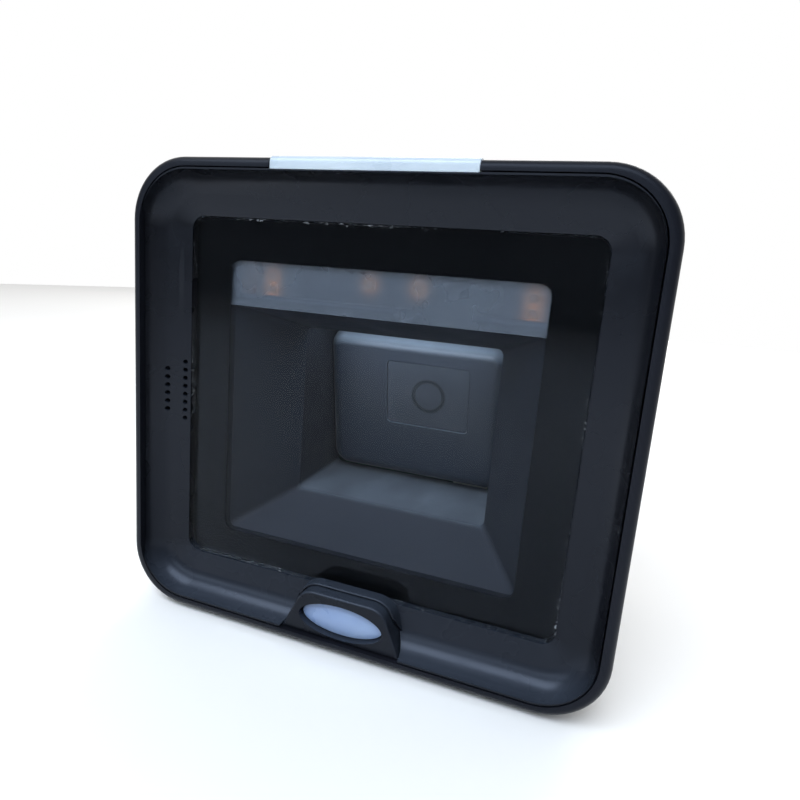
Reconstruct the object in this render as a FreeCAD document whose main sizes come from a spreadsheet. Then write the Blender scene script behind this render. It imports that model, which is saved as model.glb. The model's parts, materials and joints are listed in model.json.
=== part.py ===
import FreeCAD, Part
import math
import os
import Sketcher

# Flatbed barcode scanner, millimetres.
# Every sub-part is drawn in the face frame: X to the right, Y is the depth behind the front plane,
# Z is the height above the centre of the face. Its Placement carries it to the shared frame, where
# the origin is the middle of the footprint, on the plane of the feet.

Vector = FreeCAD.Vector
doc = FreeCAD.newDocument("flatbed_barcode_scanner")
sheet = doc.addObject("Spreadsheet::Sheet", "dims")
sub_parts = []


class Size:
    """A number together with the expression that reads it from the sheet."""

    def __init__(self, value, text):
        self.value = value
        self.text = text

    def join(self, other, sign, result):
        return Size(result, "(" + self.text + " " + sign + " " + other.text + ")")

    def __add__(self, other):
        other = as_size(other)
        return self.join(other, "+", self.value + other.value)

    def __sub__(self, other):
        other = as_size(other)
        return self.join(other, "-", self.value - other.value)

    def __mul__(self, other):
        other = as_size(other)
        return self.join(other, "*", self.value * other.value)

    def __truediv__(self, other):
        other = as_size(other)
        return self.join(other, "/", self.value / other.value)

    def __radd__(self, other):
        return as_size(other) + self

    def __rsub__(self, other):
        return as_size(other) - self

    def __rmul__(self, other):
        return as_size(other) * self

    def __neg__(self):
        return Size(-self.value, "(0 - " + self.text + ")")


def as_size(number):
    if isinstance(number, Size):
        return number
    return Size(float(number), repr(float(number)))


def dim(alias, number, note):
    """One driving dimension: a row of the sheet, handed back as a Size."""
    row = str(dim.row)
    dim.row += 1
    sheet.set("A" + row, note)
    sheet.set("B" + row, str(number))
    sheet.setAlias("B" + row, alias)
    return Size(float(number), "dims." + alias)


dim.row = 1

# Housing
body_width = dim("body_width", 150.0, "outer width")
body_height = dim("body_height", 138.0, "outer height without feet and light bar")
body_depth = dim("body_depth", 92.0, "outer depth")
body_corner = dim("body_corner", 18.0, "corner radius of the outline")
straight_depth = dim("straight_depth", 24.0, "depth of the straight sides")
back_half_width = dim("back_half_width", 56.0, "half width of the back face")
back_top = dim("back_top", 35.0, "top of the back face")
back_corner = dim("back_corner", 14.0, "corner radius of the back face")
shell_wall = dim("shell_wall", 2.5, "wall of the housing")
rim_side = dim("rim_side", 3.0, "width of the rim at the sides")
rim_top = dim("rim_top", 2.7, "width of the rim at the top and bottom")
rim_round = dim("rim_round", 2.2, "rounding of the rim")
back_round = dim("back_round", 7.0, "rounding of the back edges")
rib_depth = dim("rib_depth", 1.5, "depth of the stop rib behind the bezel")
rib_reach = dim("rib_reach", 1.2, "reach of the stop rib")
foot_drop = dim("foot_drop", 1.5, "height of the feet below the housing")
foot_radius = dim("foot_radius", 6.0, "radius of a foot")
foot_seat = dim("foot_seat", 1.0, "depth of the seat of a foot")
foot_side_front = dim("foot_side_front", 50.0, "front feet from the middle")
foot_side_back = dim("foot_side_back", 40.0, "back feet from the middle")
foot_depth_front = dim("foot_depth_front", 14.0, "depth of the front feet")
foot_depth_back = dim("foot_depth_back", 76.0, "depth of the back feet")

# Bezel and window
seam_gap = dim("seam_gap", 0.35, "gap between bezel and rim")
lip_depth = dim("lip_depth", 0.2, "front lip behind the front plane")
lip_width = dim("lip_width", 0.5, "width of the front lip")
cove_depth = dim("cove_depth", 9.2, "depth of the dished recess at the glass")
cove_radius = dim("cove_radius", 7.6, "radius of the cove")
bezel_depth = dim("bezel_depth", 13.8, "rear edge of the bezel")
skirt_wall = dim("skirt_wall", 1.5, "wall of the bezel skirt")
glass_half_width = dim("glass_half_width", 60.1, "half width of the glass")
glass_half_height = dim("glass_half_height", 53.7, "half height of the glass")
glass_corner = dim("glass_corner", 4.0, "corner radius of the glass")
glass_thick = dim("glass_thick", 2.0, "thickness of the glass")
glass_gap = dim("glass_gap", 0.15, "gap around the glass")
mask_thick = dim("mask_thick", 0.1, "thickness of the black border")
adhesive_thick = dim("adhesive_thick", 0.5, "thickness of the adhesive frame")
ledge_half_width = dim("ledge_half_width", 54.0, "half width of the opening behind the glass")
ledge_half_height = dim("ledge_half_height", 47.6, "half height of the opening behind the glass")
clear_half_width = dim("clear_half_width", 47.5, "half width of the clear window")
clear_half_height = dim("clear_half_height", 43.1, "half height of the clear window")
clear_drop = dim("clear_drop", 1.45, "clear window below the centre of the face")
clear_corner = dim("clear_corner", 3.2, "corner radius of the clear window")

# Sound holes and speaker
hole_radius = dim("hole_radius", 0.75, "radius of a sound hole")
hole_pitch = dim("hole_pitch", 2.6, "pitch of the sound holes")
hole_inner_side = dim("hole_inner_side", 62.0, "inner column of sound holes from the middle")
hole_outer_side = dim("hole_outer_side", 67.5, "outer column of sound holes from the middle")
speaker_side = dim("speaker_side", 64.75, "speaker from the middle")
speaker_half_width = dim("speaker_half_width", 5.4, "half width of the speaker")
speaker_half_height = dim("speaker_half_height", 12.2, "half height of the speaker")
speaker_depth = dim("speaker_depth", 14.4, "front of the speaker frame")
speaker_thick = dim("speaker_thick", 4.0, "thickness of the speaker frame")

# Light bar
bar_half_length = dim("bar_half_length", 28.5, "half length of the light bar")
bar_bottom = dim("bar_bottom", 65.9, "underside of the light bar")
bar_top = dim("bar_top", 69.4, "top of the light bar")
bar_front = dim("bar_front", 0.3, "front of the light bar")
bar_back = dim("bar_back", 14.6, "rear of the light bar")
bar_leg = dim("bar_leg", 60.0, "bottom of the light guide leg")
bar_leg_thick = dim("bar_leg_thick", 2.0, "thickness of the light guide leg")
bar_gap = dim("bar_gap", 0.2, "gap around the light bar")

# Button
button_drop = dim("button_drop", 60.2, "button below the centre of the face")
button_half_width = dim("button_half_width", 12.9, "half width of the button")
button_half_height = dim("button_half_height", 4.7, "half height of the button")
button_front = dim("button_front", 2.5, "crown of the button")
button_crown = dim("button_crown", 0.9, "rise of the crown of the button")
button_gap = dim("button_gap", 0.5, "gap around the button")
pod_front = dim("pod_front", 1.5, "front face of the pod")
pod_back = dim("pod_back", 11.6, "rear edge of the pod")
pod_top = dim("pod_top", -52.5, "top edge of the pod")
pod_bottom = dim("pod_bottom", -65.95, "bottom edge of the pod")
pod_half_bottom = dim("pod_half_bottom", 19.0, "half width of the pod at the bottom")
pod_flank = dim("pod_flank", 6.2, "side of the pod leans in by this much")
pod_corner = dim("pod_corner", 6.0, "corner radius of the pod")
pod_gap = dim("pod_gap", 0.35, "gap round the pod")
collar_front = dim("collar_front", 5.2, "front of the collar over the pod")
collar_crest = dim("collar_crest", 0.95, "front of the collar wider than the pod")
collar_crest_low = dim("collar_crest_low", -56.2, "lower end of the front of the collar")
collar_root = dim("collar_root", 1.5, "root of the collar wider than the pod")
collar_root_low = dim("collar_root_low", -64.4, "lower end of the root of the collar")
collar_height = dim("collar_height", 0.85, "top of the collar above the pod")
tab_reach = dim("tab_reach", 15.0, "reach of the button tabs")
tab_front = dim("tab_front", 6.2, "front of the button tabs")
tab_thick = dim("tab_thick", 1.2, "thickness of the button tabs")
stem_end = dim("stem_end", 11.0, "end of the button stem")
switch_front = dim("switch_front", 12.4, "front of the switch body")
switch_board_front = dim("switch_board_front", 16.0, "front of the switch board")

# Light chamber, shroud and camera
flange_front = dim("flange_front", 13.9, "front of the shroud flange")
flange_thick = dim("flange_thick", 1.6, "thickness of the shroud flange")
mouth_half_width = dim("mouth_half_width", 47.5, "half width of the shroud mouth")
mouth_top = dim("mouth_top", 28.3, "top of the shroud mouth")
mouth_bottom = dim("mouth_bottom", -44.5, "bottom of the shroud mouth")
neck_depth = dim("neck_depth", 34.0, "depth of the shroud neck")
neck_half_width = dim("neck_half_width", 33.2, "half width of the shroud neck")
neck_top = dim("neck_top", 22.0, "top of the shroud neck")
neck_bottom = dim("neck_bottom", -34.5, "bottom of the shroud neck")
duct_depth = dim("duct_depth", 66.0, "rear end of the shroud duct")
duct_half_width = dim("duct_half_width", 33.6, "half width of the duct end")
duct_top = dim("duct_top", 25.6, "top of the duct end")
duct_bottom = dim("duct_bottom", -33.0, "bottom of the duct end")
shroud_wall = dim("shroud_wall", 1.6, "wall of the shroud")
diffuser_half_width = dim("diffuser_half_width", 52.0, "half width of the diffuser")
diffuser_thick = dim("diffuser_thick", 1.5, "thickness of the diffuser")
diffuser_top = dim("diffuser_top", 47.0, "top of the diffuser")
led_board_front = dim("led_board_front", 25.0, "front of the LED board")
camera_tilt = dim("camera_tilt", 11.1, "downward tilt of the camera in degrees")
camera_depth = dim("camera_depth", 53.75, "centre of the camera face")
camera_drop = dim("camera_drop", 5.8, "centre of the camera face below the face centre")
camera_half_width = dim("camera_half_width", 33.2, "half width of the camera housing")
camera_half_height = dim("camera_half_height", 27.0, "half height of the camera housing")
camera_long = dim("camera_long", 14.0, "depth of the camera housing")
camera_corner = dim("camera_corner", 6.5, "corner radius of the camera housing")
camera_round = dim("camera_round", 5.5, "rounding of the camera face")
camera_wall = dim("camera_wall", 2.2, "wall of the camera housing")
camera_pilot_back = dim("camera_pilot_back", 9.0, "side screws behind the camera face")
inset_half_width = dim("inset_half_width", 15.0, "half width of the camera window")
inset_half_height = dim("inset_half_height", 11.75, "half height of the camera window")
lens_side = dim("lens_side", 5.4, "lens to the right of the middle")
lens_rise = dim("lens_rise", 6.5, "lens above the centre of the camera face")
lens_radius = dim("lens_radius", 6.0, "radius of the lens barrel")
board_thick = dim("board_thick", 1.6, "thickness of the circuit boards")

# Main board, socket and fixings
main_board_front = dim("main_board_front", 78.0, "front of the main board")
main_half_width = dim("main_half_width", 42.0, "half width of the main board")
main_bottom = dim("main_bottom", -62.0, "bottom of the main board")
main_top = dim("main_top", 18.0, "top of the main board")
post_side = dim("post_side", 37.0, "board posts from the middle")
post_low = dim("post_low", -57.0, "height of the low board posts")
post_high = dim("post_high", 13.0, "height of the high board posts")
socket_drop = dim("socket_drop", 52.0, "cable socket below the centre of the face")
socket_half_width = dim("socket_half_width", 7.8, "half width of the cable socket")
socket_half_height = dim("socket_half_height", 6.2, "half height of the cable socket")
socket_back = dim("socket_back", 91.4, "rear face of the cable socket")
plug_half_width = dim("plug_half_width", 5.9, "half width of the plug space")
plug_half_height = dim("plug_half_height", 3.4, "half height of the plug space")
plug_deep = dim("plug_deep", 10.0, "depth of the plug space")
well_side = dim("well_side", 48.0, "housing screws from the middle")
well_drop = dim("well_drop", 58.0, "housing screws below the centre of the face")
well_radius = dim("well_radius", 3.6, "radius of the screw wells")
well_seat = dim("well_seat", 36.0, "depth of the seat of the housing screws")
boss_end = dim("boss_end", 30.7, "rear end of the long bezel bosses")
insert_side = dim("insert_side", 25.0, "inserts from the middle")
insert_high = dim("insert_high", 3.0, "height of the upper inserts")
insert_low = dim("insert_low", -37.0, "height of the lower inserts")
insert_radius = dim("insert_radius", 2.8, "outer radius of an insert")
insert_long = dim("insert_long", 6.0, "length of an insert")
insert_bore = dim("insert_bore", 1.65, "tapping radius of the M4 inserts")

doc.recompute()

half_width = body_width / 2
half_height = body_height / 2
seam_half_width = half_width - rim_side
seam_half_height = half_height - rim_top
seam_corner = body_corner - rim_side + 1.0
bezel_half_width = seam_half_width - seam_gap
bezel_half_height = seam_half_height - seam_gap
glass_back = cove_depth + glass_thick
ledge_front = glass_back + mask_thick + adhesive_thick
cavity_back = body_depth - shell_wall
pod_lean = pod_flank / (pod_top - pod_bottom)


# Placing and naming

def bind(item, prop, size):
    item.setExpression(prop, as_size(size).text)


def place(item, side, depth, rise, tilt=None):
    """Carries a face-frame sub-part to the shared frame."""
    if tilt is not None:
        item.Placement = FreeCAD.Placement(Vector(), FreeCAD.Rotation(Vector(1, 0, 0), tilt.value))
        bind(item, "Placement.Rotation.Angle", tilt)
    bind(item, "Placement.Base.x", as_size(side))
    bind(item, "Placement.Base.y", as_size(depth) - body_depth / 2)
    bind(item, "Placement.Base.z", as_size(rise) + body_height / 2 + foot_drop)


def keep(item, label, side=0, depth=0, rise=0, tilt=None):
    """Registers a finished sub-part."""
    item.Label = label
    place(item, side, depth, rise, tilt)
    sub_parts.append(item)
    return item


def camera_rise(height):
    """Height in the face frame of a point this far up the tilted camera face."""
    return Size(
        height.value * math.cos(math.radians(camera_tilt.value)),
        "(" + height.text + " * cos(dims.camera_tilt * 1 deg))",
    ) - camera_drop


def camera_back(height):
    """Depth in the face frame of a point this far up the tilted camera face."""
    return camera_depth - Size(
        height.value * math.sin(math.radians(camera_tilt.value)),
        "(" + height.text + " * sin(dims.camera_tilt * 1 deg))",
    )


def keep_on_camera(item, label, side=0, height=0):
    height = as_size(height)
    return keep(item, label, side, camera_back(height), camera_rise(height), camera_tilt)


camera_pilot_depth = camera_depth + Size(
    camera_pilot_back.value * math.cos(math.radians(camera_tilt.value)),
    "(dims.camera_pilot_back * cos(dims.camera_tilt * 1 deg))",
)
camera_pilot_rise = Size(
    camera_pilot_back.value * math.sin(math.radians(camera_tilt.value)),
    "(dims.camera_pilot_back * sin(dims.camera_tilt * 1 deg))",
) - camera_drop


# Sketches

def new_body(label):
    body = doc.addObject("PartDesign::Body", label)
    body.Label = label
    return body


def sketch_on(body, role, name, offset):
    """A sketch on an origin plane of its body, moved along the normal of the plane."""
    planes = [item for item in body.Origin.OriginFeatures if item.Role == role]
    sketch = body.newObject("Sketcher::SketchObject", name)
    sketch.AttachmentSupport = [(planes[0], "")]
    sketch.MapMode = "FlatFace"
    bind(sketch, "AttachmentOffset.Base.z", offset)
    return sketch


def face_sketch(body, name, depth):
    """A sketch parallel to the front plane; its X is X and its Y is Z."""
    return sketch_on(body, "XZ_Plane", name, -as_size(depth))


def side_sketch(body, name, side=0):
    """A sketch in the plane of symmetry; its X is the depth and its Y is Z."""
    return sketch_on(body, "YZ_Plane", name, side)


def floor_sketch(body, name, rise):
    """A horizontal sketch; its X is X and its Y is the depth."""
    return sketch_on(body, "XY_Plane", name, rise)


def constrain(sketch, kind, *items):
    return sketch.addConstraint(Sketcher.Constraint(kind, *items))


def measure(sketch, kind, size, *items):
    index = sketch.addConstraint(Sketcher.Constraint(kind, *items, as_size(size).value))
    sketch.setExpression("Constraints[" + str(index) + "]", as_size(size).text)


def pin(sketch, geometry, point, across, up):
    """Ties a point of the sketch to the origin."""
    measure(sketch, "DistanceX", across, -1, 1, geometry, point)
    measure(sketch, "DistanceY", up, -1, 1, geometry, point)


def draw_polygon(sketch, corners):
    """A closed outline of straight lines."""
    corners = [(as_size(across), as_size(up)) for across, up in corners]
    points = [Vector(across.value, up.value, 0) for across, up in corners]
    first = sketch.GeometryCount
    count = len(points)
    for index in range(count):
        sketch.addGeometry(Part.LineSegment(points[index], points[(index + 1) % count]), False)
    for index in range(count):
        constrain(sketch, "Coincident", first + index, 2, first + (index + 1) % count, 1)
    for index, (across, up) in enumerate(corners):
        pin(sketch, first + index, 1, across, up)


def draw_rectangle(sketch, left, right, low, high):
    draw_polygon(sketch, [(left, low), (right, low), (right, high), (left, high)])


def draw_circle(sketch, across, up, radius):
    across = as_size(across)
    up = as_size(up)
    centre = Vector(across.value, up.value, 0)
    index = sketch.addGeometry(Part.Circle(centre, Vector(0, 0, 1), as_size(radius).value), False)
    pin(sketch, index, 3, across, up)
    measure(sketch, "Radius", radius, index)


def draw_round_rectangle(sketch, left, right, low, high, corner, split=False):
    """A rectangle with equal corner arcs; split puts a vertex in the middle of the top side."""
    left, right, low, high, corner = [as_size(size) for size in (left, right, low, high, corner)]
    r = corner.value
    x0, x1, z0, z1 = left.value, right.value, low.value, high.value
    centres = [(x0 + r, z1 - r), (x0 + r, z0 + r), (x1 - r, z0 + r), (x1 - r, z1 - r)]
    arcs = []
    for turn, (across, up) in enumerate(centres):
        circle = Part.Circle(Vector(across, up, 0), Vector(0, 0, 1), r)
        start = (turn + 1) * math.pi / 2
        arc = Part.ArcOfCircle(circle, start, start + math.pi / 2)
        arcs.append(sketch.addGeometry(arc, False))
    ends = [sketch.Geometry[arc] for arc in arcs]
    sides = []
    for turn in range(3):
        line = Part.LineSegment(ends[turn].EndPoint, ends[turn + 1].StartPoint)
        sides.append(sketch.addGeometry(line, False))
    top_from = ends[3].EndPoint
    top_to = ends[0].StartPoint
    if split:
        middle = (top_from + top_to) / 2
        top_first = sketch.addGeometry(Part.LineSegment(top_from, middle), False)
        top_last = sketch.addGeometry(Part.LineSegment(middle, top_to), False)
        constrain(sketch, "Coincident", top_first, 2, top_last, 1)
        constrain(sketch, "Horizontal", top_first)
        measure(sketch, "DistanceX", (left + right) / 2, -1, 1, top_last, 1)
    else:
        top_first = sketch.addGeometry(Part.LineSegment(top_from, top_to), False)
        top_last = top_first
    for turn in range(3):
        constrain(sketch, "Tangent", arcs[turn], 2, sides[turn], 1)
        constrain(sketch, "Tangent", sides[turn], 2, arcs[turn + 1], 1)
        constrain(sketch, "Equal", arcs[turn], arcs[turn + 1])
    constrain(sketch, "Tangent", arcs[3], 2, top_first, 1)
    constrain(sketch, "Tangent", top_last, 2, arcs[0], 1)
    constrain(sketch, "Vertical", sides[0])
    constrain(sketch, "Horizontal", sides[1])
    constrain(sketch, "Vertical", sides[2])
    constrain(sketch, "Horizontal", top_last)
    measure(sketch, "Radius", corner, arcs[0])
    measure(sketch, "DistanceX", left, -1, 1, sides[0], 1)
    measure(sketch, "DistanceY", low, -1, 1, sides[1], 1)
    measure(sketch, "DistanceX", right, -1, 1, sides[2], 1)
    measure(sketch, "DistanceY", high, -1, 1, top_last, 2)


def draw_centred(sketch, half_across, half_up, corner, drop=0, split=False):
    drop = as_size(drop)
    across = as_size(half_across)
    up = as_size(half_up)
    draw_round_rectangle(sketch, -across, across, -up - drop, up - drop, corner, split)


# Features

def pad(body, sketch, length, name, deeper=True):
    """Extrudes a sketch; a face sketch grows away from the viewer."""
    feature = body.newObject("PartDesign::Pad", name)
    feature.Profile = sketch
    bind(feature, "Length", length)
    feature.Reversed = deeper
    doc.recompute()
    return feature


def pocket(body, sketch, length, name, outward=False):
    """Cuts a sketch away; a face sketch cuts away from the viewer."""
    before = body.Shape.Volume
    feature = body.newObject("PartDesign::Pocket", name)
    feature.Profile = sketch
    bind(feature, "Length", length)
    feature.Reversed = outward
    doc.recompute()
    if body.Shape.Volume >= before - 1e-6:
        raise RuntimeError(name + " removed nothing")
    return feature


def loft(body, kind, first, last, name):
    feature = body.newObject("PartDesign::" + kind, name)
    feature.Profile = first
    feature.Sections = [last]
    feature.Ruled = True
    doc.recompute()
    return feature


def round_edges(body, chosen, radius, name, kind="Fillet"):
    """Fillets or chamfers the edges of the tip that the test picks."""
    tip = body.Tip
    names = []
    for index, edge in enumerate(tip.Shape.Edges):
        if chosen(edge):
            names.append("Edge" + str(index + 1))
    feature = body.newObject("PartDesign::" + kind, name)
    feature.Base = (tip, names)
    if kind == "Fillet":
        bind(feature, "Radius", radius)
    else:
        bind(feature, "Size", radius)
    doc.recompute()
    return feature


def edge_at_depth(depth, tolerance=0.01):
    """Picks the edges that lie in one plane parallel to the front."""
    level = as_size(depth).value

    def chosen(edge):
        box = edge.BoundBox
        return abs(box.YMin - level) < tolerance and abs(box.YMax - level) < tolerance

    return chosen


def plate(label, half_across, half_up, corner, front, thick, drop=0):
    """A flat plate with rounded corners."""
    body = new_body(label)
    outline = face_sketch(body, label + "_outline", front)
    draw_centred(outline, half_across, half_up, corner, drop)
    pad(body, outline, thick, label + "_plate")
    return body


def block(name, left, front, low, across, deep, up):
    """A box between its lowest corner and its sizes along X, depth and Z."""
    item = doc.addObject("Part::Box", name)
    bind(item, "Length", across)
    bind(item, "Width", deep)
    bind(item, "Height", up)
    bind(item, "Placement.Base.x", left)
    bind(item, "Placement.Base.y", front)
    bind(item, "Placement.Base.z", low)
    return item


def keep_block(label, left, front, low, across, deep, up):
    """A box that is a sub-part by itself."""
    return keep(block(label, 0, 0, 0, across, deep, up), label, left, front, low)


def rod(name, across, front, up, radius, length):
    """A cylinder whose axis runs along the depth."""
    item = doc.addObject("Part::Cylinder", name)
    bind(item, "Radius", radius)
    bind(item, "Height", length)
    item.Placement = FreeCAD.Placement(Vector(), FreeCAD.Rotation(Vector(1, 0, 0), -90))
    bind(item, "Placement.Base.x", across)
    bind(item, "Placement.Base.y", front)
    bind(item, "Placement.Base.z", up)
    return item


def oval(name, half_across, half_up, front, length, up):
    """An elliptical prism along the depth."""
    curve = doc.addObject("Part::Ellipse", name + "_curve")
    bind(curve, "MajorRadius", half_across)
    bind(curve, "MinorRadius", half_up)
    item = doc.addObject("Part::Extrusion", name)
    item.Base = curve
    item.DirMode = "Custom"
    item.Dir = Vector(0, 0, 1)
    item.Solid = True
    bind(item, "LengthFwd", length)
    item.Placement = FreeCAD.Placement(Vector(), FreeCAD.Rotation(Vector(1, 0, 0), -90))
    bind(item, "Placement.Base.y", front)
    bind(item, "Placement.Base.z", up)
    return item


def fuse(name, items):
    item = doc.addObject("Part::MultiFuse", name)
    item.Shapes = items
    doc.recompute()
    return item


def common(name, items):
    item = doc.addObject("Part::MultiCommon", name)
    item.Shapes = items
    doc.recompute()
    return item


def cut(name, base, tool):
    item = doc.addObject("Part::Cut", name)
    item.Base = base
    item.Tool = tool
    doc.recompute()
    return item


def group(name, items):
    item = doc.addObject("Part::Compound", name)
    item.Links = items
    doc.recompute()
    return item


# Rear housing

def make_rear_housing():
    body = new_body("rear_housing")
    front = face_sketch(body, "housing_outline", 0)
    draw_centred(front, half_width, half_height, body_corner)
    pad(body, front, straight_depth, "housing_straight")
    taper_start = face_sketch(body, "taper_start", straight_depth)
    draw_centred(taper_start, half_width, half_height, body_corner)
    taper_end = face_sketch(body, "taper_end", body_depth)
    draw_round_rectangle(taper_end, -back_half_width, back_half_width, -half_height, back_top, back_corner)
    loft(body, "AdditiveLoft", taper_start, taper_end, "housing_taper")
    round_edges(body, edge_at_depth(body_depth), back_round, "housing_back_round")
    round_edges(body, edge_at_depth(0), rim_round, "housing_rim_round")

    seat = face_sketch(body, "bezel_seat", 0)
    draw_centred(seat, seam_half_width, seam_half_height, seam_corner)
    pocket(body, seat, bezel_depth + 0.1, "bezel_seat_pocket")
    rib = face_sketch(body, "stop_rib", bezel_depth + 0.1)
    draw_centred(rib, seam_half_width - rib_reach, seam_half_height - rib_reach, seam_corner - rib_reach)
    pocket(body, rib, rib_depth, "stop_rib_pocket")
    rib_end = bezel_depth + 0.1 + rib_depth
    inner = face_sketch(body, "cavity_front", rib_end)
    draw_centred(inner, half_width - shell_wall, half_height - shell_wall, body_corner - shell_wall)
    pocket(body, inner, straight_depth - rib_end, "cavity_straight")
    cavity_start = face_sketch(body, "cavity_start", straight_depth)
    draw_centred(cavity_start, half_width - shell_wall, half_height - shell_wall, body_corner - shell_wall)
    cavity_end = face_sketch(body, "cavity_end", cavity_back)
    draw_round_rectangle(
        cavity_end,
        shell_wall - back_half_width,
        back_half_width - shell_wall,
        shell_wall - half_height,
        back_top - shell_wall,
        back_corner - shell_wall,
    )
    loft(body, "SubtractiveLoft", cavity_start, cavity_end, "cavity_taper")

    posts = face_sketch(body, "board_posts", main_board_front + board_thick)
    for across, up in board_points():
        draw_circle(posts, across, up, 3.5)
    pad(body, posts, cavity_back - main_board_front - board_thick + 0.5, "board_post_pad")
    pilots = face_sketch(body, "board_pilots", main_board_front + board_thick)
    for across, up in board_points():
        draw_circle(pilots, across, up, 1.3)
    pocket(body, pilots, 7.0, "board_pilot_pocket")

    wells = face_sketch(body, "screw_tubes", boss_end + 0.3)
    for across in (-well_side, well_side):
        draw_circle(wells, across, -well_drop, well_radius + 1.8)
    pad(body, wells, cavity_back - boss_end, "screw_tube_pad")
    bores = face_sketch(body, "screw_wells", well_seat)
    for across in (-well_side, well_side):
        draw_circle(bores, across, -well_drop, well_radius)
    pocket(body, bores, body_depth - well_seat, "screw_well_pocket")
    passes = face_sketch(body, "screw_passes", boss_end)
    for across in (-well_side, well_side):
        draw_circle(passes, across, -well_drop, 1.7)
    pocket(body, passes, well_seat - boss_end, "screw_pass_pocket")

    bosses = face_sketch(body, "insert_bosses", body_depth - insert_long - 2.0)
    for across, up in insert_points():
        draw_circle(bosses, across, up, insert_radius + 1.8)
    pad(body, bosses, insert_long + 2.0 - shell_wall + 0.5, "insert_boss_pad")
    seats = face_sketch(body, "insert_seats", body_depth - insert_long - 1.0)
    for across, up in insert_points():
        draw_circle(seats, across, up, insert_radius)
    pocket(body, seats, insert_long + 1.0, "insert_seat_pocket")

    window = face_sketch(body, "socket_window", body_depth - 4.0)
    draw_rectangle(
        window,
        -socket_half_width - 0.3,
        socket_half_width + 0.3,
        -socket_drop - socket_half_height - 0.3,
        -socket_drop + socket_half_height + 0.3,
    )
    pocket(body, window, 4.0, "socket_window_pocket")

    notch = face_sketch(body, "bar_notch", 0)
    draw_rectangle(
        notch,
        -bar_half_length - bar_gap,
        bar_half_length + bar_gap,
        bar_bottom - bar_gap - 2.5,
        half_height + 1.0,
    )
    pocket(body, notch, bar_back + bar_gap, "bar_notch_pocket")

    label = face_sketch(body, "label_recess", body_depth - 0.3)
    draw_round_rectangle(label, -22.3, 22.3, 9.7, 26.3, 1.5)
    pocket(body, label, 0.3, "label_recess_pocket")

    feet = floor_sketch(body, "foot_seats", -half_height)
    for across, deep in foot_points():
        draw_circle(feet, across, deep, foot_radius + 0.2)
    pocket(body, feet, foot_seat, "foot_seat_pocket", outward=True)
    keep(body, "rear_housing")


def board_points():
    return [(side, up) for side in (-post_side, post_side) for up in (post_low, post_high)]


def insert_points():
    return [(side, up) for side in (-insert_side, insert_side) for up in (insert_low, insert_high)]


def foot_points():
    front = [(side, foot_depth_front) for side in (-foot_side_front, foot_side_front)]
    back = [(side, foot_depth_back) for side in (-foot_side_back, foot_side_back)]
    return front + back


# Front bezel

def draw_pod(sketch, grow, lift=0, low=None):
    """The outline of the pod, made wider and taller: flat top, leaning sides, two equal corner arcs."""
    grow = as_size(grow)
    low = low or pod_bottom
    high = pod_top + lift
    foot = pod_half_bottom + grow - (low - pod_bottom) * pod_lean
    shoulder = foot - (high - low) * pod_lean
    radius = pod_corner + grow
    lean = math.atan(pod_lean.value)
    reach = radius.value * math.tan((math.pi / 2 - lean) / 2)
    top_x = shoulder.value - reach
    side_x = shoulder.value + reach * math.sin(lean)
    side_z = high.value - reach * math.cos(lean)
    right_foot = Vector(foot.value, low.value, 0)
    left_foot = Vector(-foot.value, low.value, 0)
    right_side = Vector(side_x, side_z, 0)
    left_side = Vector(-side_x, side_z, 0)
    right_top = Vector(top_x, high.value, 0)
    left_top = Vector(-top_x, high.value, 0)
    centre_z = high.value - radius.value
    right_circle = Part.Circle(Vector(top_x, centre_z, 0), Vector(0, 0, 1), radius.value)
    left_circle = Part.Circle(Vector(-top_x, centre_z, 0), Vector(0, 0, 1), radius.value)
    bottom = sketch.addGeometry(Part.LineSegment(left_foot, right_foot), False)
    right = sketch.addGeometry(Part.LineSegment(right_foot, right_side), False)
    right_arc = sketch.addGeometry(Part.ArcOfCircle(right_circle, lean, math.pi / 2), False)
    over = sketch.addGeometry(Part.LineSegment(right_top, left_top), False)
    left_arc = sketch.addGeometry(Part.ArcOfCircle(left_circle, math.pi / 2, math.pi - lean), False)
    left = sketch.addGeometry(Part.LineSegment(left_side, left_foot), False)
    guide = sketch.addGeometry(Part.Point(Vector(shoulder.value, high.value, 0)), True)
    constrain(sketch, "Coincident", bottom, 2, right, 1)
    constrain(sketch, "Tangent", right, 2, right_arc, 1)
    constrain(sketch, "Tangent", right_arc, 2, over, 1)
    constrain(sketch, "Tangent", over, 2, left_arc, 1)
    constrain(sketch, "Tangent", left_arc, 2, left, 1)
    constrain(sketch, "Coincident", left, 2, bottom, 1)
    constrain(sketch, "Symmetric", over, 1, over, 2, -2)
    constrain(sketch, "Equal", right_arc, left_arc)
    measure(sketch, "Radius", radius, right_arc)
    pin(sketch, bottom, 1, -foot, low)
    pin(sketch, bottom, 2, foot, low)
    measure(sketch, "DistanceY", high, -1, 1, over, 1)
    pin(sketch, guide, 1, shoulder, high)
    constrain(sketch, "PointOnObject", guide, 1, right)


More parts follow.
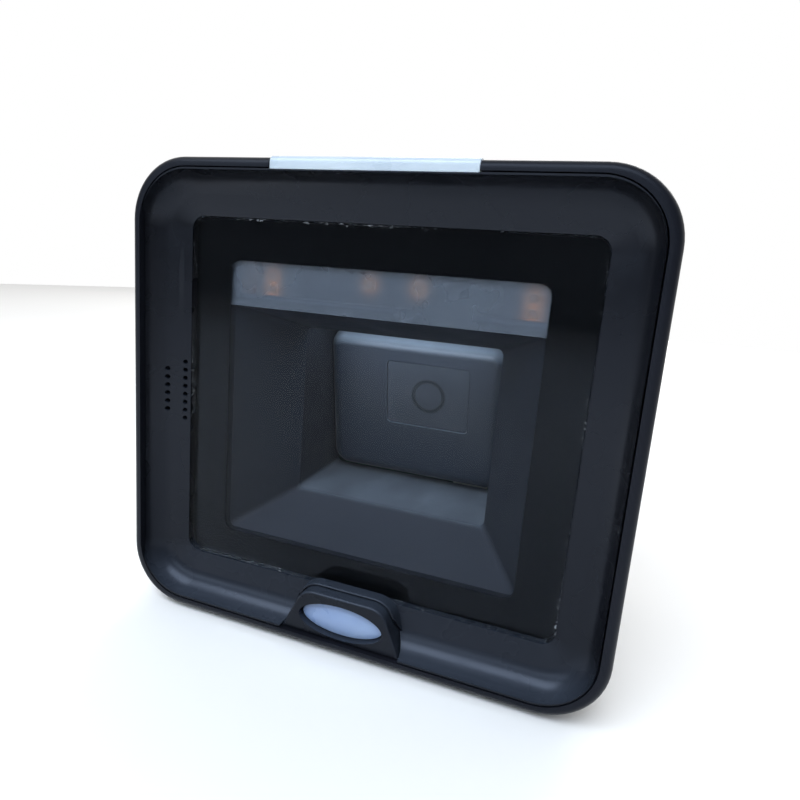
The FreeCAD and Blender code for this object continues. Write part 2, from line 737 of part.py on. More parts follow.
def draw_cove(sketch):
    """The region in front of the cove, next to the edge of the glass."""
    lip = bezel_half_height - lip_width
    start = glass_half_height
    radius = cove_radius
    centre = (lip_depth, lip - radius)
    away_d = (cove_depth - centre[0]).value
    away_z = (start - centre[1]).value
    distance = math.hypot(away_d, away_z)
    angle = math.atan2(away_z, away_d) + math.acos(radius.value / distance)
    touch = Vector(centre[0].value + radius.value * math.cos(angle),
                   centre[1].value + radius.value * math.sin(angle), 0)
    corner_in = Vector(-1.0, start.value, 0)
    corner_out = Vector(-1.0, lip.value, 0)
    lip_point = Vector(lip_depth.value, lip.value, 0)
    glass_point = Vector(cove_depth.value, start.value, 0)
    front = sketch.addGeometry(Part.LineSegment(corner_in, corner_out), False)
    edge = sketch.addGeometry(Part.LineSegment(corner_out, lip_point), False)
    circle = Part.Circle(Vector(centre[0].value, centre[1].value, 0), Vector(0, 0, 1), radius.value)
    arc = sketch.addGeometry(Part.ArcOfCircle(circle, angle, math.pi / 2), False)
    slope = sketch.addGeometry(Part.LineSegment(touch, glass_point), False)
    inside = sketch.addGeometry(Part.LineSegment(glass_point, corner_in), False)
    constrain(sketch, "Coincident", front, 2, edge, 1)
    constrain(sketch, "Coincident", edge, 2, arc, 2)
    constrain(sketch, "Tangent", arc, 1, slope, 1)
    constrain(sketch, "Coincident", slope, 2, inside, 1)
    constrain(sketch, "Coincident", inside, 2, front, 1)
    pin(sketch, front, 1, -1.0, start)
    pin(sketch, front, 2, -1.0, lip)
    pin(sketch, edge, 2, lip_depth, lip)
    pin(sketch, slope, 2, cove_depth, start)
    measure(sketch, "Radius", radius, arc)
    measure(sketch, "DistanceX", lip_depth, -1, 1, arc, 3)


def sweep_cut(body, profile, path, name):
    before = body.Shape.Volume
    feature = body.newObject("PartDesign::SubtractivePipe", name)
    feature.Profile = profile
    doc.recompute()
    feature.Spine = (path, ["Edge" + str(index + 1) for index in range(len(path.Shape.Edges))])
    doc.recompute()
    if body.Shape.Volume >= before - 1e-6:
        raise RuntimeError(name + " removed nothing")
    return feature


def shroud_points():
    return [(side, up) for side in (-35.0, 35.0) for up in (-59.5, 59.5)]


def make_front_bezel():
    body = new_body("front_bezel")
    outline = face_sketch(body, "bezel_outline", lip_depth)
    draw_centred(outline, bezel_half_width, bezel_half_height, seam_corner - seam_gap)
    draw_centred(outline, ledge_half_width, ledge_half_height, 2.0)
    pad(body, outline, bezel_depth - lip_depth, "bezel_block")

    hollow_path = face_sketch(body, "hollow_path", 0)
    draw_centred(hollow_path, glass_half_width, glass_half_height, glass_corner, split=True)
    hollow = side_sketch(body, "hollow_profile")
    wall_in = bezel_half_height - skirt_wall
    draw_polygon(hollow, [
        (bezel_depth + 1.0, glass_half_height + 0.9),
        (cove_depth + 1.7, glass_half_height + 0.9),
        (cove_depth + 0.4, glass_half_height + 6.8),
        (cove_depth - 2.0, wall_in),
        (bezel_depth + 1.0, wall_in),
    ])
    sweep_cut(body, hollow, hollow_path, "hollow_sweep")

    bosses = face_sketch(body, "bezel_bosses", 2.0)
    for across, up in shroud_points():
        draw_circle(bosses, across, up, 3.0)
    for across in (-24.0, 24.0):
        draw_circle(bosses, across, -59.5, 2.6)
    pad(body, bosses, bezel_depth - 2.0, "bezel_boss_pad")
    long_bosses = face_sketch(body, "long_bosses", 2.0)
    for across in (-well_side, well_side):
        draw_circle(long_bosses, across, -well_drop, 4.0)
    pad(body, long_bosses, boss_end - 2.0, "long_boss_pad")
    chamber = face_sketch(body, "speaker_chamber", 2.0)
    draw_centred_at(chamber, -speaker_side, 0, speaker_half_width + 0.2, speaker_half_height + 0.2, 2.0)
    draw_centred_at(chamber, -speaker_side, 0, speaker_half_width - 1.2, speaker_half_height - 1.2, 1.5)
    pad(body, chamber, speaker_depth - 0.5 - 2.0, "speaker_chamber_pad")

    cove_path = face_sketch(body, "cove_path", 0)
    draw_centred(cove_path, glass_half_width, glass_half_height, glass_corner, split=True)
    cove = side_sketch(body, "cove_profile")
    draw_cove(cove)
    sweep_cut(body, cove, cove_path, "cove_sweep")
    seat = face_sketch(body, "glass_seat", -1.0)
    draw_centred(seat, glass_half_width + glass_gap, glass_half_height + glass_gap, glass_corner + glass_gap)
    pocket(body, seat, ledge_front + 1.0, "glass_seat_pocket")

    crest = face_sketch(body, "collar_crest_outline", collar_front)
    draw_pod(crest, collar_crest, collar_height, collar_crest_low)
    root = face_sketch(body, "collar_root_outline", cove_depth - 0.1)
    draw_pod(root, collar_root, collar_height - 0.1, collar_root_low)
    loft(body, "AdditiveLoft", crest, root, "pod_collar")
    round_edges(body, collar_edges, 0.45, "pod_collar_round")
    hole = face_sketch(body, "pod_opening", -1.0)
    draw_pod(hole, pod_gap, pod_gap)
    pocket(body, hole, cove_depth + 0.9, "pod_opening_pocket")
    rear_hole = face_sketch(body, "pod_rear_opening", cove_depth - 0.2)
    draw_rectangle(rear_hole, -pod_half_bottom - 0.2, pod_half_bottom + 0.2, pod_bottom - 0.15, -54.7)
    pocket(body, rear_hole, bezel_depth, "pod_rear_opening_pocket")
    slot = face_sketch(body, "pod_slot", -1.0)
    draw_rectangle(slot, -pod_half_bottom - pod_gap, pod_half_bottom + pod_gap, -half_height, pod_bottom + 0.1)
    pocket(body, slot, bezel_depth + 3.0, "pod_slot_pocket")

    pilots = face_sketch(body, "bezel_pilots", cove_depth + 1.2)
    for across, up in shroud_points():
        draw_circle(pilots, across, up, 1.05)
    for across in (-24.0, 24.0):
        draw_circle(pilots, across, -59.5, 0.85)
    pocket(body, pilots, bezel_depth - cove_depth, "bezel_pilot_pocket")
    deep_pilots = face_sketch(body, "long_boss_pilots", boss_end - 12.0)
    for across in (-well_side, well_side):
        draw_circle(deep_pilots, across, -well_drop, 1.25)
    pocket(body, deep_pilots, 12.5, "long_boss_pilot_pocket")

    notch = face_sketch(body, "bezel_bar_notch", -1.0)
    draw_rectangle(notch, -bar_half_length - bar_gap, bar_half_length + bar_gap, bar_bottom - bar_gap, 68.0)
    pocket(body, notch, bezel_depth + 2.0, "bezel_bar_notch_pocket")
    leg_notch = face_sketch(body, "bezel_leg_notch", bar_back - bar_leg_thick - 0.3)
    draw_rectangle(leg_notch, -bar_half_length - bar_gap, bar_half_length + bar_gap, 64.0, 68.0)
    pocket(body, leg_notch, bar_leg_thick, "bezel_leg_notch_pocket")

    hooks = face_sketch(body, "hook_arms", 10.5)
    for across in (-45.0, 45.0):
        draw_rectangle(hooks, across - 5.0, across + 5.0, 63.0, 64.75)
    pad(body, hooks, 6.8, "hook_arm_pad")
    catches = face_sketch(body, "hook_catches", 15.7)
    for across in (-45.0, 45.0):
        draw_rectangle(catches, across - 5.0, across + 5.0, 64.7, 66.1)
    pad(body, catches, 1.6, "hook_catch_pad")

    for side, count, name in ((hole_inner_side, 8, "inner"), (hole_outer_side, 6, "outer")):
        start = hole_pitch * (count - 1) / 2
        first = face_sketch(body, name + "_sound_hole", -1.0)
        draw_circle(first, -side, start, hole_radius)
        drill = pocket(body, first, bezel_depth, name + "_sound_hole_pocket")
        row = body.newObject("PartDesign::LinearPattern", name + "_sound_holes")
        row.Originals = [drill]
        row.Direction = (first, ["V_Axis"])
        row.Reversed = True
        bind(row, "Length", hole_pitch * (count - 1))
        row.Occurrences = count
        body.Tip = row
        doc.recompute()
    keep(body, "front_bezel")


def collar_edges(edge):
    """The front edges of the collar."""
    box = edge.BoundBox
    level = collar_front.value
    inside = abs(box.XMin) < 22 and abs(box.XMax) < 22 and box.ZMax < -50
    return inside and abs(box.YMin - level) < 0.01 and abs(box.YMax - level) < 0.01 and box.ZMax > -65.8


def draw_centred_at(sketch, across, up, half_across, half_up, corner):
    across = as_size(across)
    up = as_size(up)
    draw_round_rectangle(
        sketch,
        across - half_across,
        across + half_across,
        up - half_up,
        up + half_up,
        corner,
    )


# Window

def make_window():
    glass = plate("window_glass", glass_half_width, glass_half_height, glass_corner, cove_depth, glass_thick)
    round_edges(glass, edge_at_depth(cove_depth), 0.25, "glass_edge_chamfer", "Chamfer")
    keep(glass, "window_glass")
    mask = new_body("window_mask")
    outline = face_sketch(mask, "mask_outline", glass_back)
    draw_centred(outline, glass_half_width - 0.2, glass_half_height - 0.2, glass_corner - 0.2)
    draw_centred(outline, clear_half_width, clear_half_height, clear_corner, clear_drop)
    pad(mask, outline, mask_thick, "mask_layer")
    keep(mask, "window_mask")
    adhesive = new_body("window_adhesive")
    outline = face_sketch(adhesive, "adhesive_outline", glass_back + mask_thick)
    draw_centred(outline, glass_half_width - 0.5, glass_half_height - 0.5, glass_corner - 0.5)
    draw_centred(outline, ledge_half_width + 1.0, ledge_half_height + 1.0, 2.5)
    pad(adhesive, outline, adhesive_thick, "adhesive_layer")
    keep(adhesive, "window_adhesive")


# Light bar

def make_light_bar():
    bar = new_body("light_bar")
    profile = side_sketch(bar, "bar_profile", -bar_half_length)
    draw_polygon(profile, [
        (bar_front, bar_bottom),
        (bar_back - bar_leg_thick, bar_bottom),
        (bar_back - bar_leg_thick, bar_leg),
        (bar_back, bar_leg),
        (bar_back, bar_top),
        (bar_front, bar_top),
    ])
    pad(bar, profile, bar_half_length * 2, "bar_prism", deeper=False)
    front_top = lambda edge: (
        abs(edge.BoundBox.YMax - bar_front.value) < 0.01 and abs(edge.BoundBox.ZMin - bar_top.value) < 0.01
    )
    round_edges(bar, front_top, 1.8, "bar_front_round")
    keep(bar, "light_bar")
    keep_block("light_bar_board", -27.0, bar_back - 4.2, bar_leg - 2.6, 54.0, 6.0, 1.2)
    leds = []
    for index in range(8):
        left = index * 6.6 - 24.6
        leds.append(block("bar_led_" + str(index), left, bar_back - 2.0, bar_leg - 1.4, 3.0, 1.8, 1.1))
    keep(group("light_bar_leds", leds), "light_bar_leds")


# Button, pod and switch

def make_button():
    pod = new_body("pod_shell")
    outline = face_sketch(pod, "pod_outline", pod_front)
    draw_pod(outline, 0)
    pad(pod, outline, pod_back - pod_front, "pod_block")
    round_edges(pod, pod_front_edges, 0.7, "pod_front_round")
    tabs = face_sketch(pod, "pod_tab_space", tab_front - 0.3)
    draw_rectangle(tabs, -tab_reach - 0.4, tab_reach + 0.4, -button_drop - 2.9, -button_drop + 2.9)
    pocket(pod, tabs, pod_back, "pod_tab_pocket")
    behind_glass = face_sketch(pod, "pod_top_relief", cove_depth - 0.2)
    draw_rectangle(behind_glass, -20.0, 20.0, -54.8, -50.0)
    pocket(pod, behind_glass, pod_back, "pod_top_relief_pocket")
    hole = oval("pod_hole", button_half_width + button_gap, button_half_height + button_gap, 0, 20, -button_drop)
    doc.recompute()
    keep(cut("button_pod", pod, hole), "button_pod")

    dome_radius = button_crown * 6.67
    cap_long = tab_front - button_front + 0.5
    prism = oval("cap_prism", button_half_width, button_half_height, button_front, cap_long, -button_drop)
    dome = doc.addObject("Part::Ellipsoid", "cap_dome")
    bind(dome, "Radius1", dome_radius)
    bind(dome, "Radius2", button_half_width * 1.9)
    bind(dome, "Radius3", button_half_height * 1.9)
    bind(dome, "Placement.Base.y", button_front + dome_radius)
    bind(dome, "Placement.Base.z", -button_drop)
    dome.Placement = FreeCAD.Placement(dome.Placement.Base, FreeCAD.Rotation(Vector(1, 0, 0), -90))
    doc.recompute()
    crown = common("cap_crown", [prism, dome])
    tab_low = -button_drop - 2.5
    tabs = block("cap_tabs", -tab_reach, tab_front, tab_low, tab_reach * 2, tab_thick, 5.0)
    stem = rod("cap_stem", 0, tab_front, -button_drop, 2.4, stem_end - tab_front)
    keep(fuse("button_cap", [crown, tabs, stem]), "button_cap")

    housing = block("switch_box", -3.0, switch_front, -button_drop - 3.0, 6.0, switch_board_front - switch_front, 6.0)
    throat = rod("switch_throat", 0, switch_front - 1.0, -button_drop, 2.1, 3.2)
    keep(cut("switch_body", housing, throat), "switch_body")
    plunger = rod("plunger_pin", 0, 0, 0, 1.75, 2.4)
    keep(plunger, "switch_plunger", 0, stem_end, -button_drop)

    board = new_body("switch_board")
    outline = face_sketch(board, "switch_board_outline", switch_board_front)
    draw_rectangle(outline, -27.0, 27.0, -64.3, -54.6)
    for across in (-24.0, 24.0):
        draw_circle(outline, across, -59.5, 1.1)
    pad(board, outline, board_thick, "switch_board_plate")
    keep(board, "switch_board")
    spacers = []
    screws = []
    for across in (-24.0, 24.0):
        spacers.append(tube("switch_spacer", across, bezel_depth, -59.5, 2.4, 1.2, switch_board_front - bezel_depth))
        screws.append(screw("switch_screw", across, switch_board_front + board_thick, -59.5, 0.8, 1.7, 1.2, 6.5))
    keep(group("switch_spacers", spacers), "switch_spacers")
    keep(group("switch_screws", screws), "switch_screws")
    leds = []
    for across in (-8.5, 6.0):
        leds.append(block("button_led", across, switch_board_front - 1.0, -button_drop - 1.4, 2.5, 1.0, 2.8))
    keep(group("button_leds", leds), "button_leds")


def pod_front_edges(edge):
    """The front edges of the pod, except along its bottom."""
    box = edge.BoundBox
    level = pod_front.value
    return abs(box.YMin - level) < 0.01 and abs(box.YMax - level) < 0.01 and box.ZMax > pod_bottom.value + 0.1


def tube(name, across, front, up, radius, bore, length):
    outer = rod(name + "_outer", across, front, up, radius, length)
    inner = rod(name + "_bore", across, as_size(front) - 1.0, up, bore, as_size(length) + 2.0)
    return cut(name, outer, inner)


def screw(name, across, seat, up, shank, head, head_high, length):
    """A pan-head screw driven from behind; its head starts at the seat."""
    seat = as_size(seat)
    shank_rod = rod(name + "_shank", across, seat - length, up, shank, length)
    head_rod = rod(name + "_head", across, seat, up, head, head_high)
    solid = fuse(name + "_blank", [shank_rod, head_rod])
    recess_deep = head_high * 0.5
    front = seat + head_high - recess_deep
    slots = []
    for wide, high in ((head * 1.1, head * 0.3), (head * 0.3, head * 1.1)):
        left = as_size(across) - wide / 2
        low = as_size(up) - high / 2
        slots.append(block(name + "_slot", left, front, low, wide, recess_deep + 0.1, high))
    return cut(name, solid, fuse(name + "_recess", slots))


# Shroud, diffuser and light chamber

def draw_section(sketch, half_across, low, high, grow):
    grow = as_size(grow)
    across = half_across + grow
    draw_round_rectangle(sketch, -across, across, low - grow, high + grow, 2.0)


def make_shroud():
    body = new_body("inner_shroud")
    flange = face_sketch(body, "flange_outline", flange_front)
    draw_centred(flange, 57.0, 50.6, 4.0)
    pad(body, flange, flange_thick, "flange_plate")
    ears = face_sketch(body, "flange_ears", flange_front)
    for side in (-35.0, 35.0):
        draw_rectangle(ears, side - 3.8, side + 3.8, 48.0, 62.8)
        draw_rectangle(ears, side - 3.8, side + 3.8, -62.8, -48.0)
    pad(body, ears, flange_thick, "flange_ear_pad")
    mouth = face_sketch(body, "mouth_outer", flange_front)
    draw_section(mouth, mouth_half_width, mouth_bottom, mouth_top, shroud_wall)
    neck = face_sketch(body, "neck_outer", neck_depth)
    draw_section(neck, neck_half_width, neck_bottom, neck_top, shroud_wall)
    loft(body, "AdditiveLoft", mouth, neck, "funnel_outer")
    neck = face_sketch(body, "neck_outer_back", neck_depth)
    draw_section(neck, neck_half_width, neck_bottom, neck_top, shroud_wall)
    end = face_sketch(body, "duct_outer", duct_depth)
    draw_section(end, duct_half_width, duct_bottom, duct_top, shroud_wall)
    loft(body, "AdditiveLoft", neck, end, "duct_outer_loft")
    mouth = face_sketch(body, "mouth_inner", flange_front)
    draw_section(mouth, mouth_half_width, mouth_bottom, mouth_top, 0)
    neck = face_sketch(body, "neck_inner", neck_depth)
    draw_section(neck, neck_half_width, neck_bottom, neck_top, 0)
    loft(body, "SubtractiveLoft", mouth, neck, "funnel_inner")
    neck = face_sketch(body, "neck_inner_back", neck_depth)
    draw_section(neck, neck_half_width, neck_bottom, neck_top, 0)
    end = face_sketch(body, "duct_inner", duct_depth)
    draw_section(end, duct_half_width, duct_bottom, duct_top, 0)
    loft(body, "SubtractiveLoft", neck, end, "duct_inner_loft")
    light = face_sketch(body, "light_opening", flange_front)
    draw_rectangle(light, -47.5, 47.5, mouth_top + 2.4, 46.0)
    pocket(body, light, flange_thick, "light_opening_pocket")
    holes = face_sketch(body, "flange_holes", flange_front)
    for across, up in shroud_points():
        draw_circle(holes, across, up, 1.4)
    pocket(body, holes, flange_thick, "flange_hole_pocket")
    for side, name in ((-44.0, "left"), (44.0, "right")):
        stand = face_sketch(body, name + "_led_stand", flange_front)
        draw_circle(stand, side, 50.2, 2.6)
        pad(body, stand, led_board_front - flange_front, name + "_led_stand_pad")
        pilot = face_sketch(body, name + "_led_pilot", led_board_front - 6.0)
        draw_circle(pilot, side, 50.2, 0.9)
        pocket(body, pilot, 6.0, name + "_led_pilot_pocket")
    camera_holes = side_sketch(body, "camera_screw_holes", -neck_half_width - 5.0)
    draw_circle(camera_holes, camera_pilot_depth, camera_pilot_rise, 1.1)
    pocket(body, camera_holes, (neck_half_width + 5.0) * 2, "camera_screw_hole_pocket", outward=True)
    keep(body, "inner_shroud")
    screws = []
    for across, up in shroud_points():
        screws.append(screw("shroud_screw", across, flange_front + flange_thick, up, 1.0, 2.2, 1.5, 5.0))
    keep(group("shroud_screws", screws), "shroud_screws")


def make_lights():
    diffuser = new_body("diffuser_panel")
    outline = face_sketch(diffuser, "diffuser_outline", flange_front - diffuser_thick - 0.05)
    draw_round_rectangle(outline, -diffuser_half_width, diffuser_half_width, mouth_top, diffuser_top, 1.0)
    pad(diffuser, outline, diffuser_thick, "diffuser_sheet")
    keep(diffuser, "diffuser_panel")
    low = mouth_top + 3.3
    chamber_front = flange_front + flange_thick + 0.05
    chamber_deep = led_board_front - chamber_front - 0.05
    outer = block("reflector_outer", -48.0, chamber_front, low - 1.0, 96.0, chamber_deep, 46.5 - low + 1.0)
    inner = block("reflector_inner", -46.8, chamber_front - 1.0, low + 0.2, 93.6, chamber_deep + 2.0, 45.3 - low - 0.2)
    keep(cut("led_reflector", outer, inner), "led_reflector")
    board = new_body("led_board")
    outline = face_sketch(board, "led_board_outline", led_board_front)
    draw_rectangle(outline, -48.0, 48.0, 29.5, 53.5)
    for across in (-44.0, 44.0):
        draw_circle(outline, across, 50.2, 1.2)
    pad(board, outline, board_thick, "led_board_plate")
    keep(board, "led_board")
    leds = []
    for side, up in led_points():
        leds.append(led_package(side, up))
    keep(group("led_packages", leds), "led_packages")
    screws = []
    for across in (-44.0, 44.0):
        screws.append(screw("led_screw", across, led_board_front + board_thick, 50.2, 0.85, 1.8, 1.3, 6.0))
    keep(group("led_board_screws", screws), "led_board_screws")


def led_points():
    pairs = [(side, up) for side in (-41.5, 41.5) for up in (37.8, 33.4)]
    return pairs + [(-7.7, 37.6), (7.7, 37.6)]


def led_package(side, up):
    base = block("led_base", side - 1.75, led_board_front - 0.9, up - 1.4, 3.5, 0.9, 2.8)
    lens = doc.addObject("Part::Sphere", "led_lens")
    bind(lens, "Radius", 1.2)
    bind(lens, "Placement.Base.x", side)
    bind(lens, "Placement.Base.y", led_board_front - 0.7)
    bind(lens, "Placement.Base.z", up)
    front = block("led_front", side - 1.3, led_board_front - 2.0, up - 1.3, 2.6, 1.2, 2.6)
    doc.recompute()
    return fuse("led_package", [base, common("led_dome", [lens, front])])


# Camera

def make_camera():
    body = new_body("camera_housing")
    outline = face_sketch(body, "camera_outline", 0)
    draw_centred(outline, camera_half_width, camera_half_height, camera_corner)
    pad(body, outline, camera_long, "camera_block")
    round_edges(body, edge_at_depth(0), camera_round, "camera_face_round")
    cavity = face_sketch(body, "camera_cavity", camera_wall + 0.6)
    draw_centred(cavity, camera_half_width - 4.2, camera_half_height - 4.2, camera_corner - 2.5)
    pocket(body, cavity, camera_long, "camera_cavity_pocket")
    bosses = face_sketch(body, "camera_bosses", camera_wall)
    for across, up in camera_corners():
        draw_circle(bosses, across, up, 2.8)
    pad(body, bosses, camera_long - camera_wall, "camera_boss_pad")
    pilots = face_sketch(body, "camera_pilots", camera_long - 7.0)
    for across, up in camera_corners():
        draw_circle(pilots, across, up, 0.9)
    pocket(body, pilots, 7.0, "camera_pilot_pocket")
    inset = face_sketch(body, "camera_inset", -1.0)
    draw_centred_at(inset, lens_side - 0.4, lens_rise, inset_half_width, inset_half_height, 1.5)
    pocket(body, inset, 2.3, "camera_inset_pocket")
    opening = face_sketch(body, "camera_opening", -1.0)
    draw_centred_at(opening, lens_side - 0.4, lens_rise, inset_half_width - 1.6, inset_half_height - 1.6, 1.2)
    pocket(body, opening, camera_wall + 2.5, "camera_opening_pocket")
    side_pilots = side_sketch(body, "camera_side_pilots", -camera_half_width - 1.0)
    draw_circle(side_pilots, camera_pilot_back, 0, 0.85)
    pocket(body, side_pilots, (camera_half_width + 1.0) * 2, "camera_side_pilot_pocket", outward=True)
    keep_on_camera(body, "camera_housing")

    side_screws = []
    for side in (-1, 1):
        side_screws.append(side_screw("camera_screw", side))
    keep(group("camera_screws", side_screws), "camera_screws")

    window = new_body("camera_window")
    outline = face_sketch(window, "camera_window_outline", 0.3)
    draw_centred_at(outline, lens_side - 0.4, lens_rise, inset_half_width - 0.2, inset_half_height - 0.2, 1.3)
    pad(window, outline, 1.0, "camera_window_plate")
    keep_on_camera(window, "camera_window")

    barrel = new_body("lens_barrel")
    profile = side_sketch(barrel, "barrel_profile")
    draw_polygon(profile, [
        (1.7, 4.6),
        (1.7, lens_radius - 0.35),
        (5.0, lens_radius - 0.35),
        (5.0, lens_radius - 0.1),
        (12.4, lens_radius - 0.1),
        (12.4, 3.4),
        (5.2, 3.4),
        (4.6, 2.6),
        (3.4, 2.6),
    ])
    turn = barrel.newObject("PartDesign::Revolution", "barrel_turn")
    turn.Profile = profile
    turn.ReferenceAxis = (profile, ["H_Axis"])
    turn.Angle = 360
    doc.recompute()
    keep_on_camera(barrel, "lens_barrel", lens_side, lens_rise)

    glass = new_body("lens_glass")
    profile = side_sketch(glass, "lens_profile")
    start = profile.addGeometry(Part.LineSegment(Vector(5.3, 0, 0), Vector(9.5, 0, 0)), False)
    rear = profile.addGeometry(Part.LineSegment(Vector(9.5, 0, 0), Vector(9.5, 3.2, 0)), False)
    rim = profile.addGeometry(Part.LineSegment(Vector(9.5, 3.2, 0), Vector(6.3, 3.2, 0)), False)
    crown = profile.addGeometry(Part.Arc(Vector(6.3, 3.2, 0), Vector(5.6, 1.8, 0), Vector(5.3, 0, 0)), False)
    constrain(profile, "Coincident", start, 2, rear, 1)
    constrain(profile, "Coincident", rear, 2, rim, 1)
    constrain(profile, "Coincident", rim, 2, crown, 1)
    constrain(profile, "Coincident", crown, 2, start, 1)
    pin(profile, start, 1, 5.3, 0)
    pin(profile, start, 2, 9.5, 0)
    pin(profile, rear, 2, 9.5, 3.2)
    pin(profile, rim, 2, 6.3, 3.2)
    measure(profile, "Radius", 5.62, crown)
    turn = glass.newObject("PartDesign::Revolution", "lens_turn")
    turn.Profile = profile
    turn.ReferenceAxis = (profile, ["H_Axis"])
    turn.Angle = 360
    doc.recompute()
    keep_on_camera(glass, "lens_glass", lens_side, lens_rise)

    mount = new_body("lens_mount")
    outline = face_sketch(mount, "mount_outline", 8.0)
    draw_centred(outline, 8.0, 8.0, 1.0)
    draw_circle(outline, 0, 0, lens_radius - 0.05)
    pad(mount, outline, camera_long - 8.0, "mount_block")
    keep_on_camera(mount, "lens_mount", lens_side, lens_rise)
    sensor = plate("image_sensor", 3.6, 3.6, 0.3, camera_long - 1.0, 1.0)
    keep_on_camera(sensor, "image_sensor", lens_side, lens_rise)

    board = new_body("sensor_board")
    outline = face_sketch(board, "sensor_board_outline", camera_long)
    draw_centred(outline, camera_half_width - 0.6, camera_half_height - 0.6, camera_corner - 0.6)
    for across, up in camera_corners():
        draw_circle(outline, across, up, 1.2)
    pad(board, outline, board_thick, "sensor_board_plate")
    keep_on_camera(board, "sensor_board")
    screws = []
    for across, up in camera_corners():
        screws.append(screw("sensor_screw", across, camera_long + board_thick, up, 0.85, 1.8, 1.2, 6.0))
    keep_on_camera(group("sensor_board_screws", screws), "sensor_board_screws")


def side_screw(name, side):
    """A screw through the side of the duct into the camera housing; side is 1 or -1."""
    item = screw(name, 0, 0, 0, 0.8, 1.6, 1.0, 5.0)
    item.Placement = FreeCAD.Placement(Vector(), FreeCAD.Rotation(Vector(0, 0, 1), -90 * side))
    bind(item, "Placement.Base.x", (duct_half_width + shroud_wall) * side)
    bind(item, "Placement.Base.y", camera_pilot_depth)
    bind(item, "Placement.Base.z", camera_pilot_rise)
    return item


def camera_corners():
    return [(side, up) for side in (-28.6, 28.6) for up in (-22.4, 22.4)]


# Main board and cable socket

def make_main_board():
    board = new_body("main_board")
    outline = face_sketch(board, "main_board_outline", main_board_front)
    draw_round_rectangle(outline, -main_half_width, main_half_width, main_bottom, main_top, 2.0)
    for across, up in board_points():
        draw_circle(outline, across, up, 1.6)
    pad(board, outline, board_thick, "main_board_plate")
    keep(board, "main_board")
    board_back = main_board_front + board_thick
    keep_block("processor", -17.0, main_board_front - 1.4, -52.0, 14.0, 1.4, 14.0)
    keep_block("memory_chip", 1.5, main_board_front - 1.1, -49.0, 9.0, 1.1, 12.0)
    inductor = rod("inductor_core", 0, 0, 0, 4.0, 3.5)
    keep(inductor, "power_inductor", -32.0, board_back, -20.0)
    cans = []
    for across, up in ((-33.0, -36.0), (33.0, -24.0), (33.0, -35.5)):
        cans.append(rod("capacitor", across, board_back, up, 3.1, 6.5))
    keep(group("capacitors", cans), "capacitors")
    headers = []
    for left, low, wide in connector_places():
        headers.append(header("header", left, low, wide))
    keep(group("board_headers", headers), "board_headers")
    screws = []
    for across, up in board_points():
        head = rod("board_screw_head", across, main_board_front - 1.7, up, 2.7, 1.7)
        shank = rod("board_screw_shank", across, main_board_front, up, 1.25, 7.0)
        slots = []
        for wide, high in ((3.0, 0.8), (0.8, 3.0)):
            left = across - wide / 2
            low = up - high / 2
            slots.append(block("board_screw_slot", left, main_board_front - 1.8, low, wide, 0.9, high))
        blank = fuse("board_screw_blank", [head, shank])
        screws.append(cut("board_screw", blank, fuse("board_screw_recess", slots)))
    keep(group("board_screws", screws), "board_screws")


def connector_places():
    return [(16.0, 9.0, 10.0), (-30.0, -33.5, 6.0), (20.0, -58.5, 6.0), (12.0, -38.0, 13.0)]


def header(name, left, low, wide):
    """A wire header on the front of the main board, open at the front."""
    shell = block(name + "_shell", left, main_board_front - 2.4, low, wide, 2.4, 4.0)
    room = block(name + "_room", left + 0.6, main_board_front - 2.5, low + 0.6, wide - 1.2, 1.7, 2.8)
    return cut(name, shell, room)


def make_socket():
    body = new_body("cable_socket")
    start = main_board_front + board_thick
    outline = face_sketch(body, "socket_outline", start)
    low = -socket_drop - socket_half_height
    high = -socket_drop + socket_half_height
    draw_rectangle(outline, -socket_half_width, socket_half_width, low, high)
    pad(body, outline, socket_back - start, "socket_block")
    mouth = face_sketch(body, "plug_space", socket_back - plug_deep)
    plug_low = -socket_drop - plug_half_height
    plug_high = -socket_drop + plug_half_height
    draw_rectangle(mouth, -plug_half_width, plug_half_width, plug_low, plug_high)
    pocket(body, mouth, plug_deep, "plug_space_pocket")
    latch = face_sketch(body, "latch_space", socket_back - plug_deep + 1.5)
    draw_rectangle(latch, -3.1, 3.1, plug_low - 1.6, plug_low + 0.5)
    pocket(body, latch, plug_deep, "latch_space_pocket")
    keep(body, "cable_socket")
    contacts = []
    for index in range(8):
        left = index * 1.02 - 3.57 - 0.2
        contacts.append(block("contact", left, socket_back - 8.5, plug_high - 1.0, 0.4, 6.0, 0.7))
    keep(group("socket_contacts", contacts), "socket_contacts")


# Speaker

